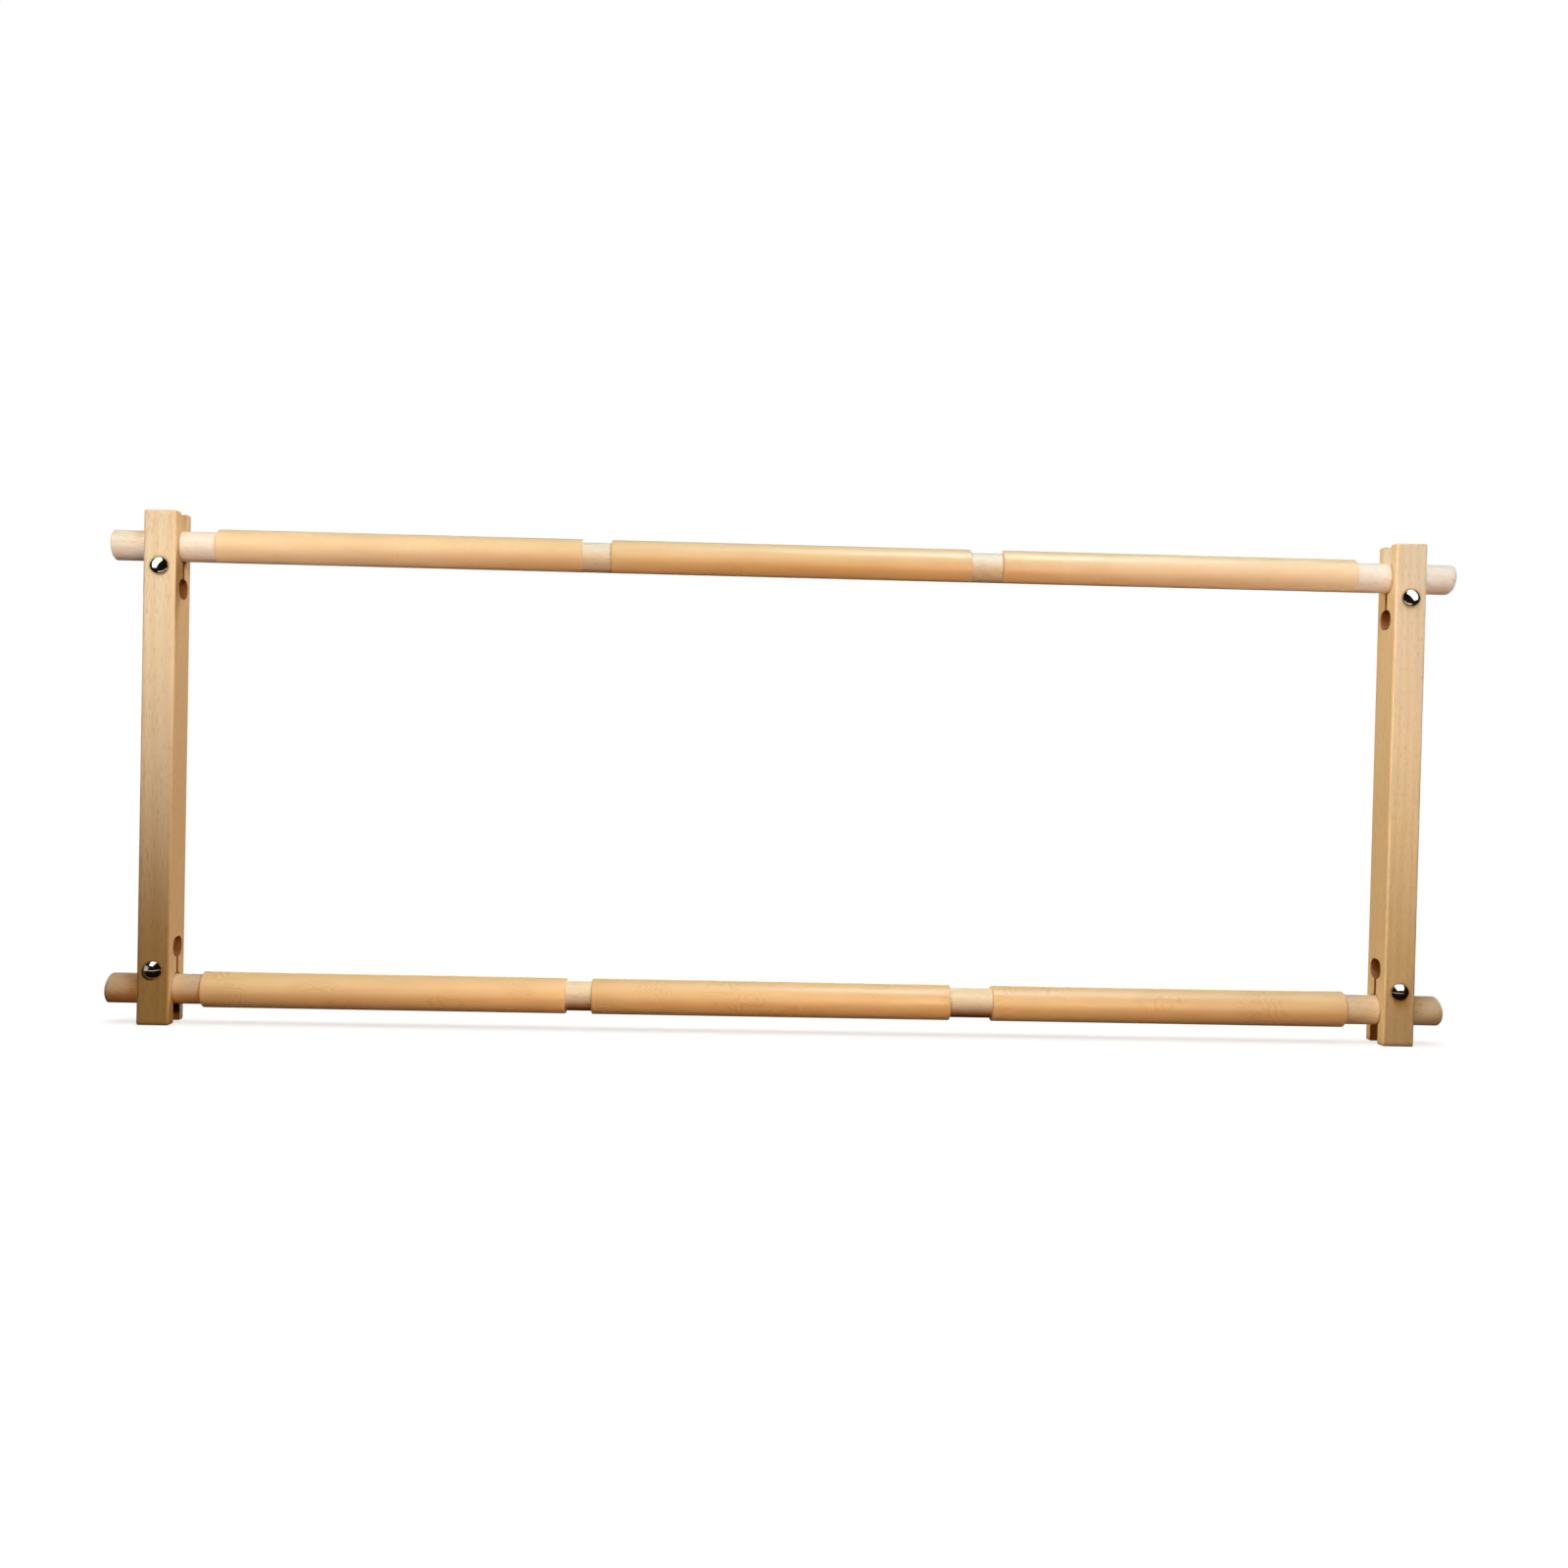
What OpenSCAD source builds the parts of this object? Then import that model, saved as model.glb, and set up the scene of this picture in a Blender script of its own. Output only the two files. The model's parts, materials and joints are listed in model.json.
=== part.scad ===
// Rotating embroidery frame. Two hardwood side bars clamp two dowel rollers in split jaws,
// and six split sleeves clip the fabric onto the rollers.
// X runs along the rollers, Y from the front face to the back, and Z is up. The frame
// stands on the ends of its side bars, with the origin at the bottom centre.

/* [Side bars] */
// Length of a side bar, from end to end
bar_length = 305; // [240:1:450]
// Width of a side bar, seen from the front
bar_width = 19; // [16:0.5:30]
// Rounding of the four long edges of a side bar
bar_edge_radius = 1.5; // [0.5:0.25:3]

/* [Clamp jaws] */
// Distance from the end of a bar to the axis of its roller
seat_inset = 20; // [18:0.5:32]
// Wood in front of the roller
front_cheek = 6; // [4:0.5:12]
// Wood behind the roller
back_cheek = 4; // [3:0.5:12]
// Width of the mouth between the two lips at the end of a bar
mouth_width = 12; // [8:0.5:14]
// Width of the saw cut between the two cheeks
kerf_width = 3.2; // [1:0.1:4]
// Height of the oblong relief hole at the root of the saw cut, and the diameter of its drill
relief_height = 12; // [8:0.5:16]
// Extent of the relief hole from front to back
relief_width = 16; // [16:0.5:20]
// Wood between the roller seat and the bolt hole
bolt_wall = 1.2; // [1:0.1:6]
// Wood between the bolt hole and the relief hole
relief_wall = 3.75; // [2:0.25:10]

/* [Rollers] */
// Diameter of a roller
roller_diameter = 18; // [16:0.5:24]
// Free end of a roller outside a side bar
roller_overhang = 22; // [10:1:60]
// Rounding of the rim of a roller's end
roller_end_radius = 2.5; // [0.5:0.25:3]

/* [Clips] */
// Length of a clip
clip_length = 217; // [120:1:300]
// Wall of a clip
clip_wall = 1.8; // [1.2:0.1:3]
// Angle that a clip wraps round its roller
clip_wrap = 270; // [220:5:300]
// Chamfer round the outer edge of a clip's ends
clip_chamfer = 0.6; // [0.2:0.1:1]
// Way that the top clips' openings face, in degrees up from straight back
top_clip_turn = -79; // [-180:1:180]
// Way that the bottom clips' openings face, in degrees up from straight back
bottom_clip_turn = 0; // [-180:1:180]
// Bare top roller between the left bar and the first clip
top_gap_left = 21; // [12:0.5:60]
// Bare top roller between the first clip and the second
top_gap_second = 17.5; // [14:0.5:60]
// Bare top roller between the second clip and the third
top_gap_third = 19; // [14:0.5:60]
// Bare top roller between the third clip and the right bar
top_gap_right = 20.5; // [18:0.5:60]
// Bare bottom roller between the left bar and the first clip
bottom_gap_left = 16.5; // [12:0.5:18]
// Bare bottom roller between the first clip and the second
bottom_gap_second = 15.5; // [14:0.5:17]
// Bare bottom roller between the second clip and the third
bottom_gap_third = 25.5; // [14:0.5:27]

/* [Clamp bolts] */
// Diameter of a bolt's shank
bolt_diameter = 5; // [4:0.5:6]
// Diameter of a bolt's domed head
head_diameter = 11.5; // [9:0.5:15]
// Height of a bolt's domed head
head_height = 4; // [2.5:0.25:5]
// Height of the straight rim under the dome
head_rim = 0.5; // [0.2:0.1:1]
// Length of the square neck under the head
neck_length = 3; // [2:0.25:4]
// Shank left free behind the wing nut
bolt_tail = 7.7; // [5:0.1:15]
// Chamfer at the end of the shank
tail_chamfer = 0.6; // [0.3:0.1:1]

/* [Washers and wing nuts] */
// Outer diameter of a washer
washer_diameter = 15; // [10:0.5:18]
// Thickness of a washer
washer_thickness = 1.2; // [0.8:0.1:2]
// Diameter of a wing nut's hub at its foot
hub_foot_diameter = 11; // [9:0.5:13]
// Diameter of a wing nut's hub at its top
hub_top_diameter = 8.5; // [7:0.5:9]
// Height of a wing nut's hub
hub_height = 8; // [5:0.5:10]
// Span of a wing nut from wing tip to wing tip
wing_span = 26; // [22:0.5:32]
// Height of a wing nut from its foot to the top of its wings
wing_height = 13; // [11:0.5:16]
// Radius of a wing's rounded ear
ear_radius = 4.6; // [4:0.1:5]
// Thickness of a wing
wing_thickness = 2.2; // [1.6:0.1:3]
// Height at which a wing leaves the hub's foot
wing_foot = 1.2; // [0.8:0.1:2]

/* [Clearances] */
// Gap round a roller in its seat
roller_clearance = 0.05; // [0.01:0.01:0.1]
// Gap between a roller and a clip
clip_clearance = 0.05; // [0.01:0.01:0.1]
// Gap round a bolt's shank in the wood
bolt_hole_clearance = 0.25; // [0.1:0.05:0.5]
// Gap round a bolt's square neck in the wood
neck_clearance = 0.1; // [0.05:0.05:0.3]
// Gap round a bolt in its washer
washer_clearance = 0.1; // [0.05:0.01:0.3]
// Gap round a bolt in its wing nut
nut_clearance = 0.06; // [0.02:0.01:0.1]

/* [Hidden] */
$fn = 96;
// How far a cutting solid runs past the face that it cuts
past = 1;

roller_radius = roller_diameter / 2;
seat_radius = roller_radius + roller_clearance;
relief_radius = relief_height / 2;
// Distance of the relief drill's two places from the saw cut's plane
relief_shift = relief_width / 2 - relief_radius;
bolt_radius = bolt_diameter / 2;
bolt_hole_radius = bolt_radius + bolt_hole_clearance;

bar_depth = front_cheek + 2 * seat_radius + back_cheek;
// Depth of the plane that holds the roller's axis, the saw cut and the relief hole
seat_depth = front_cheek + seat_radius;
// Heights above the end of a bar
bolt_z = seat_inset + seat_radius + bolt_wall + bolt_hole_radius;
relief_z = bolt_z + bolt_hole_radius + relief_wall + relief_radius;

clip_inner_radius = roller_radius + clip_clearance;
clip_outer_radius = clip_inner_radius + clip_wall;
clip_opening = 360 - clip_wrap;

window_width = 3 * clip_length + top_gap_left + top_gap_second + top_gap_third + top_gap_right;
bar_x = (window_width + bar_width) / 2;
roller_length = window_width + 2 * (bar_width + roller_overhang);
bottom_axis_z = seat_inset;
top_axis_z = bar_length - seat_inset;

// Left ends of the clips, from the left bar to the right one
top_clip_x = [
    -window_width / 2 + top_gap_left,
    -window_width / 2 + top_gap_left + clip_length + top_gap_second,
    window_width / 2 - top_gap_right - clip_length
];
bottom_clip_x = [
    -window_width / 2 + bottom_gap_left,
    -window_width / 2 + bottom_gap_left + clip_length + bottom_gap_second,
    -window_width / 2 + bottom_gap_left + 2 * clip_length + bottom_gap_second + bottom_gap_third
];

bolt_length = bar_depth + washer_thickness + hub_height + bolt_tail;
// Overall depth runs from the bolt heads to whatever reaches furthest back
back_reach = washer_thickness + max(hub_height + bolt_tail, wing_height);
front_y = head_height - (head_height + bar_depth + back_reach) / 2;
axis_y = front_y + seat_depth;
// Places of the washers and wing nuts behind the bars' front faces
washer_back = bar_depth;
nut_back = bar_depth + washer_thickness;

// Point where the line from p touches the circle of radius r round c. side picks one of the two.
function touch_point(p, c, r, side) =
    let (
        reach = norm(c - p),
        way = atan2(c.y - p.y, c.x - p.x) + side * asin(r / reach),
        run = sqrt(reach * reach - r * r)
    )
    p + run * [cos(way), sin(way)];

// Rectangle w wide and d deep with rounded corners, its front edge on y = 0
module bar_section(w, d, r) {
    translate([-w / 2 + r, 0]) square([w - 2 * r, d]);
    translate([-w / 2, r]) square([w, d - 2 * r]);
    for (x = [-w / 2 + r, w / 2 - r], y = [r, d - r])
        translate([x, y]) circle(r);
}

// Everything that is cut out of the lower end of a bar to make its jaw
module jaw_cuts() {
    across = bar_width + 2 * past;
    // Round seat for the roller
    translate([0, seat_depth, seat_inset])
        rotate([0, 90, 0])
            cylinder(r = seat_radius, h = across, center = true);
    // Mouth that lets the two lips close on the roller
    translate([-across / 2, seat_depth - mouth_width / 2, -past])
        cube([across, mouth_width, seat_inset + past]);
    // Saw cut from the seat to the relief hole
    translate([-across / 2, seat_depth - kerf_width / 2, seat_inset])
        cube([across, kerf_width, relief_z - seat_inset]);
    // Oblong relief hole, drilled twice side by side and cleared between
    for (shift = [-relief_shift, relief_shift])
        translate([0, seat_depth + shift, relief_z])
            rotate([0, 90, 0])
                cylinder(r = relief_radius, h = across, center = true);
    translate([-across / 2, seat_depth - relief_shift, relief_z - relief_radius])
        cube([across, 2 * relief_shift, relief_height]);
    // Bolt hole through both cheeks, with the square recess of the bolt's neck
    translate([0, -past, bolt_z])
        rotate([-90, 0, 0])
            cylinder(r = bolt_hole_radius, h = bar_depth + 2 * past);
    neck_recess = bolt_diameter + 2 * neck_clearance;
    translate([-neck_recess / 2, -past, bolt_z - neck_recess / 2])
        cube([neck_recess, neck_length + past, neck_recess]);
}

// Side bar with its front face on y = 0 and its lower end on z = 0
module side_bar() {
    color("burlywood")
        difference() {
            linear_extrude(bar_length)
                bar_section(bar_width, bar_depth, bar_edge_radius);
            jaw_cuts();
            translate([0, 0, bar_length])
                mirror([0, 0, 1])
                    jaw_cuts();
        }
}

// Dowel along X, centred on the origin
module roller() {
    half = roller_length / 2;
    straight = roller_radius - roller_end_radius;
    color("wheat")
        rotate([0, 90, 0])
            rotate_extrude() {
                translate([0, -half]) square([straight, roller_length]);
                translate([0, -half + roller_end_radius])
                    square([roller_radius, roller_length - 2 * roller_end_radius]);
                for (y = [-half + roller_end_radius, half - roller_end_radius])
                    translate([straight, y]) circle(roller_end_radius);
            }
}

// Cross section of a clip, with its opening centred on +X and rounded lips
module clip_section() {
    reach = 2 * clip_outer_radius;
    half = clip_opening / 2;
    difference() {
        circle(clip_outer_radius);
        circle(clip_inner_radius);
        polygon([
            [0, 0],
            reach * [cos(half), -sin(half)],
            [reach, 0],
            reach * [cos(half), sin(half)]
        ]);
    }
    for (side = [-1, 1])
        rotate(side * half)
            translate([clip_inner_radius + clip_wall / 2, 0])
                circle(d = clip_wall);
}

// Ring that cuts the chamfer round the end of a clip on z = 0
module clip_chamfer_ring() {
    rotate_extrude()
        polygon([
            [clip_outer_radius - clip_chamfer - past, -past],
            [clip_outer_radius + past, -past],
            [clip_outer_radius + past, clip_chamfer + past]
        ]);
}

// Clip round the X axis, from x = 0, with its opening turned up from straight back
module clip(turn) {
    color("sandybrown")
        rotate([90, 0, 90])
            rotate(turn)
                difference() {
                    linear_extrude(clip_length) clip_section();
                    clip_chamfer_ring();
                    translate([0, 0, clip_length])
                        mirror([0, 0, 1])
                            clip_chamfer_ring();
                }
}

// Bolt along +Y, with the underside of its head on y = 0
module clamp_bolt() {
    head_radius = head_diameter / 2;
    dome_height = head_height - head_rim;
    dome_radius = (head_radius * head_radius + dome_height * dome_height) / (2 * dome_height);
    color("silver")
        rotate([-90, 0, 0]) {
            translate([0, 0, -head_rim]) cylinder(r = head_radius, h = head_rim);
            // Cap of a sphere that meets the rim
            intersection() {
                translate([0, 0, dome_radius - head_height]) sphere(dome_radius);
                translate([0, 0, -head_height]) cylinder(r = head_radius, h = dome_height);
            }
            translate([-bolt_radius, -bolt_radius, 0])
                cube([bolt_diameter, bolt_diameter, neck_length]);
            cylinder(r = bolt_radius, h = bolt_length - tail_chamfer);
            translate([0, 0, bolt_length - tail_chamfer])
                cylinder(r1 = bolt_radius, r2 = bolt_radius - tail_chamfer, h = tail_chamfer);
        }
}

// Washer along +Y, from y = 0
module washer() {
    color("gainsboro")
        rotate([-90, 0, 0])
            difference() {
                cylinder(d = washer_diameter, h = washer_thickness);
                translate([0, 0, -past])
                    cylinder(r = bolt_radius + washer_clearance, h = washer_thickness + 2 * past);
            }
}

// Outline of one wing. x runs out from the hub's axis and y up from the hub's foot.
module wing_outline() {
    ear = [wing_span / 2 - ear_radius, wing_height - ear_radius];
    foot = [hub_foot_diameter / 4, wing_foot];
    crown = [hub_top_diameter / 4, hub_height];
    polygon([
        foot,
        touch_point(foot, ear, ear_radius, -1),
        ear,
        touch_point(crown, ear, ear_radius, 1),
        crown
    ]);
    translate(ear) circle(ear_radius);
}

// Wing nut along +Y, with its foot on y = 0 and its wings up and down
module wing_nut() {
    color("silver")
        rotate([-90, 0, 0])
            difference() {
                union() {
                    cylinder(d1 = hub_foot_diameter, d2 = hub_top_diameter, h = hub_height);
                    for (turn = [90, 270])
                        rotate(turn)
                            rotate([90, 0, 0])
                                linear_extrude(wing_thickness, center = true)
                                    wing_outline();
                }
                translate([0, 0, -past])
                    cylinder(r = bolt_radius + nut_clearance, h = wing_height + 2 * past);
            }
}

// Puts a piece on the axis of a corner's bolt. side is -1 at the left and 1 at the right,
// level -1 at the bottom and 1 at the top, and back is measured from the bars' front faces.
module at_corner(side, level, back) {
    z = level > 0 ? bar_length - bolt_z : bolt_z;
    translate([side * bar_x, front_y + back, z]) children();
}

// Puts a clip on a roller's axis
module on_roller(x, z) {
    translate([x, axis_y, z]) children();
}

translate([-bar_x, front_y, 0]) side_bar();  // left_side_bar
translate([bar_x, front_y, 0]) side_bar();  // right_side_bar
on_roller(0, top_axis_z) roller();  // top_roller
on_roller(0, bottom_axis_z) roller();  // bottom_roller
on_roller(top_clip_x[0], top_axis_z) clip(top_clip_turn);  // top_left_clip
on_roller(top_clip_x[1], top_axis_z) clip(top_clip_turn);  // top_middle_clip
on_roller(top_clip_x[2], top_axis_z) clip(top_clip_turn);  // top_right_clip
on_roller(bottom_clip_x[0], bottom_axis_z) clip(bottom_clip_turn);  // bottom_left_clip
on_roller(bottom_clip_x[1], bottom_axis_z) clip(bottom_clip_turn);  // bottom_middle_clip
on_roller(bottom_clip_x[2], bottom_axis_z) clip(bottom_clip_turn);  // bottom_right_clip
at_corner(-1, 1, 0) clamp_bolt();  // left_top_bolt
at_corner(-1, -1, 0) clamp_bolt();  // left_bottom_bolt
at_corner(1, 1, 0) clamp_bolt();  // right_top_bolt
at_corner(1, -1, 0) clamp_bolt();  // right_bottom_bolt
at_corner(-1, 1, washer_back) washer();  // left_top_washer
at_corner(-1, -1, washer_back) washer();  // left_bottom_washer
at_corner(1, 1, washer_back) washer();  // right_top_washer
at_corner(1, -1, washer_back) washer();  // right_bottom_washer
at_corner(-1, 1, nut_back) wing_nut();  // left_top_wing_nut
at_corner(-1, -1, nut_back) wing_nut();  // left_bottom_wing_nut
at_corner(1, 1, nut_back) wing_nut();  // right_top_wing_nut
at_corner(1, -1, nut_back) wing_nut();  // right_bottom_wing_nut
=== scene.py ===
"""Blender scene of a rotating embroidery frame.

Two beech side bars clamp two dowels in split jaws, and six split sleeves of tan plastic lie
on the dowels. Bolts, washers and wing nuts close the jaws. Sizes are written in millimetres
and angles in degrees. X runs along the dowels, Y to the back and Z up.
"""
import json
import logging
import math
from dataclasses import dataclass
from enum import Enum
from typing import Any

import bmesh
import bpy
import numpy as np
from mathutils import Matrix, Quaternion, Vector

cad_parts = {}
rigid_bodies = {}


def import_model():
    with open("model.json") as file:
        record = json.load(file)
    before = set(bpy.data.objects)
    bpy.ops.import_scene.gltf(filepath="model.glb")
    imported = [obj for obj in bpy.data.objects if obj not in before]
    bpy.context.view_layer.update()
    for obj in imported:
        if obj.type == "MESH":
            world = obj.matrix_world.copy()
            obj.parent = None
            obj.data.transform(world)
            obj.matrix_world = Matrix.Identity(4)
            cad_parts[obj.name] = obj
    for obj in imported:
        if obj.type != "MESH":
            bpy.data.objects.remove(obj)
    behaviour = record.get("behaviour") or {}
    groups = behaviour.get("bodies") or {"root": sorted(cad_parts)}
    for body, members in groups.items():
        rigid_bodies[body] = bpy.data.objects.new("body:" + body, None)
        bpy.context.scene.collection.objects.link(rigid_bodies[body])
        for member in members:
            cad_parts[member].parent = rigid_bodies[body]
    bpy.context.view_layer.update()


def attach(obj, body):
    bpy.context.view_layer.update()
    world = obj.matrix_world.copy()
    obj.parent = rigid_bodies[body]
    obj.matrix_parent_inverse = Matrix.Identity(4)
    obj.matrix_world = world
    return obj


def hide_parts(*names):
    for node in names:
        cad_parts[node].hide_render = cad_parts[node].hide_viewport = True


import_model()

log = logging.getLogger("embroidery_frame")

Material = bpy.types.Material
Node = bpy.types.Node
Piece = bpy.types.Object
Socket = bpy.types.NodeSocket
Tree = bpy.types.NodeTree
Point = tuple[float, float, float]

MM = 0.001
# Sizes that several pieces share.
BAR_LENGTH = 305.0
BAR_DEPTH = 28.1
BAR_X = 374.0
FRONT_Y = -20.5
DOWEL_Y = -5.45
DOWEL_INSET = 20.0
BOLT_INSET = 33.0
# How fast an oblong hollow goes from one round end to the other, per unit of the cosine.
SIDE_CHANGE = 10.0
# Points of a softened corner.
CORNER_STEPS = 5


class Named(Enum):
    """A choice whose name is a word in the names of the nodes."""

    @property
    def word(self) -> str:
        """The name as the nodes spell it."""
        return self.name.lower()


class Side(Named):
    """The two side bars, with the sign of X where each one stands."""

    LEFT = -1
    RIGHT = 1


class Level(Named):
    """The two dowels, each at one end of the side bars."""

    BOTTOM = -1
    TOP = 1

    def height(self, inset: float) -> float:
        """Z of what lies a given way in from this end of the bars."""
        return inset if self is Level.BOTTOM else BAR_LENGTH - inset


class Grain(Enum):
    """The axis that the fibres of a piece of wood follow."""

    ALONG_X = 0
    ALONG_Z = 2


def linear(code: str) -> tuple[float, float, float, float]:
    """Turns an sRGB hex colour into linear light.

    Args:
        code: Six hex digits.

    Returns:
        Red, green, blue and an alpha of 1.
    """
    parts = [int(code[start:start + 2], 16) / 255 for start in (0, 2, 4)]
    curve = [part / 12.92 if part <= 0.04045 else ((part + 0.055) / 1.055) ** 2.4 for part in parts]
    return (*curve, 1.0)


def add_node(tree: Tree, kind: str, inputs: dict[str | int, Any] | None = None, **settings: Any) -> Node:
    """Adds one shader node with its settings and links.

    Args:
        tree: The material's node tree.
        kind: The node's type name, without its first word ShaderNode.
        inputs: Values or output sockets for the node's inputs, by name or number.
        **settings: Properties of the node itself.

    Returns:
        The new node.
    """
    node = tree.nodes.new(f"ShaderNode{kind}")
    for name, value in settings.items():
        setattr(node, name, value)
    for name, value in (inputs or {}).items():
        if isinstance(value, Socket):
            tree.links.new(value, node.inputs[name])
        else:
            node.inputs[name].default_value = value
    return node


def new_material(name: str) -> tuple[Material, Node]:
    """Makes an empty node material.

    Args:
        name: The material's name.

    Returns:
        The material and its Principled shader, which is linked to the output.
    """
    material = bpy.data.materials.new(name)
    material.use_nodes = True
    material.node_tree.nodes.clear()
    shader = add_node(material.node_tree, "BsdfPrincipled")
    add_node(material.node_tree, "OutputMaterial", {"Surface": shader.outputs["BSDF"]})
    return material, shader


def grained_noise(tree: Tree, size: Point, shift: Point, detail: float, waves: float = 0.5) -> Socket:
    """Noise on the Object coordinates, whose grains have a given size along each axis.

    Args:
        tree: The material's node tree.
        size: Size of a grain in mm along X, Y and Z.
        shift: Where the pattern starts, counted in grains.
        detail: Number of finer noises that are added.
        waves: Waves of the noise in a grain.

    Returns:
        The socket of the noise.
    """
    place = add_node(tree, "TexCoord").outputs["Object"]
    steps = {"Vector": place, "Scale": [1 / (length * MM) for length in size], "Location": shift}
    vector = add_node(tree, "Mapping", steps).outputs[0]
    return add_node(tree, "TexNoise", {"Vector": vector, "Scale": waves, "Detail": detail}).outputs["Fac"]


def lay_over(
    tree: Tree, below: Any, above: Any, pattern: Socket, reach: tuple[float, float],
    share: tuple[float, float] = (0.0, 1.0)
) -> Socket:
    """Lays one colour over another by a pattern.

    Args:
        tree: The material's node tree.
        below: The colour below, or its socket.
        above: The colour that is laid over it, or its socket.
        pattern: The socket of the pattern.
        reach: The two values of the pattern between which the share changes smoothly.
        share: The share of the upper colour at each of the two.

    Returns:
        The socket of the mixed colour.
    """
    levels = {0: pattern, 1: reach[0], 2: reach[1], 3: share[0], 4: share[1]}
    amount = add_node(tree, "MapRange", levels, interpolation_type="SMOOTHSTEP").outputs[0]
    return add_node(tree, "Mix", {0: amount, 6: below, 7: above}, data_type="RGBA").outputs[2]


def dress(
    shader: Node, colour: Socket, grain: Socket, gloss: tuple[float, float], height: Socket,
    strength: float, depth: float
) -> None:
    """Gives a shader its colour, its uneven gloss and its relief.

    Args:
        shader: The Principled shader.
        colour: The finished colour.
        grain: The pattern that the gloss follows.
        gloss: Roughness where that pattern is low and where it is high.
        height: The pattern of the relief.
        strength: Strength of the relief.
        depth: Depth of the relief in mm.
    """
    tree = shader.id_data
    levels = {0: grain, 1: 0.3, 2: 0.7, 3: gloss[0], 4: gloss[1]}
    rough = add_node(tree, "MapRange", levels, interpolation_type="SMOOTHSTEP").outputs[0]
    bump = add_node(tree, "Bump", {"Height": height, "Strength": strength, "Distance": depth * MM}).outputs[0]
    for name, source in (("Base Color", colour), ("Roughness", rough), ("Normal", bump)):
        tree.links.new(source, shader.inputs[name])


@dataclass(frozen=True)
class Beech:
    """Sanded beech: growth rings round a pith outside the piece, fine fibres, and dark ray flecks.

    The eye sees a calm even tan with faint streaks along the piece and many short dashes. pith
    is the rings' middle on the two axes across the fibres, and shift moves the noise.
    """

    name: str
    grain: Grain
    pale: str
    deep: str
    fleck: str
    pith: tuple[float, float]
    shift: float
    fleck_strength: float = 0.3
    ring_strength: float = 0.4
    fibre_strength: float = 0.12
    cloud_strength: float = 0.25
    end_strength: float = 0.3
    ring_spacing: float = 3.2
    ring_bend: float = 9.0
    fleck_length: float = 2.6
    # Real rays are about 0.15 mm wide. They are drawn wider, so that they show in the render.
    fleck_width: float = 0.34
    # Real fibres are under 0.1 mm wide. They are drawn wider, so that they show in the render.
    fibre_width: float = 0.22
    roughness: float = 0.52
    ior: float = 1.5
    # Painted shade: share of the fleck colour laid in nooks and next to other pieces, where shade falls, and
    # how far away they count.
    contact_strength: float = 0.0
    contact_reach: float = 4.0

    def build(self) -> Material:
        """Builds the wood from one solid pattern, so that faces and ends agree.

        Returns:
            The material.
        """
        material, shader = new_material(self.name)
        tree = material.node_tree
        deep, fleck = linear(self.deep), linear(self.fleck)
        rings, flecks, ends = self._rings(tree), self._flecks(tree), self._ends(tree)
        fibres = self._noise(tree, self.fibre_width, 30.0, 3.0)
        clouds = self._noise(tree, 9.0, 6.0, 1.0)
        colour = lay_over(tree, linear(self.pale), deep, rings, (-0.8, 1.0), (0.0, self.ring_strength))
        colour = lay_over(tree, colour, deep, clouds, (0.35, 0.75), (0.0, self.cloud_strength))
        colour = lay_over(tree, colour, fleck, fibres, (0.45, 0.75), (0.0, self.fibre_strength))
        colour = add_node(tree, "Mix", {0: flecks, 6: colour, 7: fleck}, data_type="RGBA").outputs[2]
        colour = lay_over(tree, colour, fleck, ends, (0.6, 0.95), (0.0, self.end_strength))
        # Painted shade: ambient occlusion lays the fleck colour into nooks and next to other pieces.
        if self.contact_strength:
            reach = {"Distance": self.contact_reach * MM}
            occlusion_for_painted_shade = add_node(tree, "AmbientOcclusion", reach, samples=8).outputs["AO"]
            colour = lay_over(tree, colour, fleck, occlusion_for_painted_shade, (0.5, 0.95), (self.contact_strength, 0.0))
        height = add_node(tree, "Math", {0: fibres, 1: flecks}, operation="SUBTRACT").outputs[0]
        dress(shader, colour, fibres, (self.roughness - 0.06, self.roughness + 0.08), height, 0.35, 0.05)
        shader.inputs["IOR"].default_value = self.ior
        return material

    def _noise(self, tree: Tree, width: float, stretch: float, detail: float, waves: float = 0.5) -> Socket:
        """Noise whose grains are a given width in mm and lie along the fibres.

        Args:
            tree: The material's node tree.
            width: Size of a grain across the fibres.
            stretch: How many times longer it is along the fibres.
            detail: Number of finer noises that are added.
            waves: Waves of the noise in a grain.

        Returns:
            The socket of the noise.
        """
        size = [width, width, width]
        size[self.grain.value] *= stretch
        start = (self.shift, self.shift * 0.7, -self.shift)
        return grained_noise(tree, tuple(size), start, detail, waves)

    def _rings(self, tree: Tree) -> Socket:
        """Growth rings: the sine of the distance from the pith, which slow noise bends.

        Args:
            tree: The material's node tree.

        Returns:
            A value from -1 in early wood to 1 in late wood.
        """
        across = (1, 2) if self.grain is Grain.ALONG_X else (0, 1)
        scale = [1 / MM if axis in across else 0.0 for axis in range(3)]
        location = [0.0, 0.0, 0.0]
        for axis, away in zip(across, self.pith):
            location[axis] = -away
        place = add_node(tree, "TexCoord").outputs["Object"]
        flat = add_node(tree, "Mapping", {"Vector": place, "Scale": scale, "Location": location}).outputs[0]
        radius = add_node(tree, "VectorMath", {0: flat}, operation="LENGTH").outputs["Value"]
        wander = self._noise(tree, 14.0, 9.0, 2.0)
        bent = add_node(tree, "Math", {0: wander, 1: self.ring_bend, 2: radius}, operation="MULTIPLY_ADD")
        turns = {0: bent.outputs[0], 1: math.tau / self.ring_spacing}
        angle = add_node(tree, "Math", turns, operation="MULTIPLY").outputs[0]
        return add_node(tree, "Math", {0: angle}, operation="SINE").outputs[0]

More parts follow.
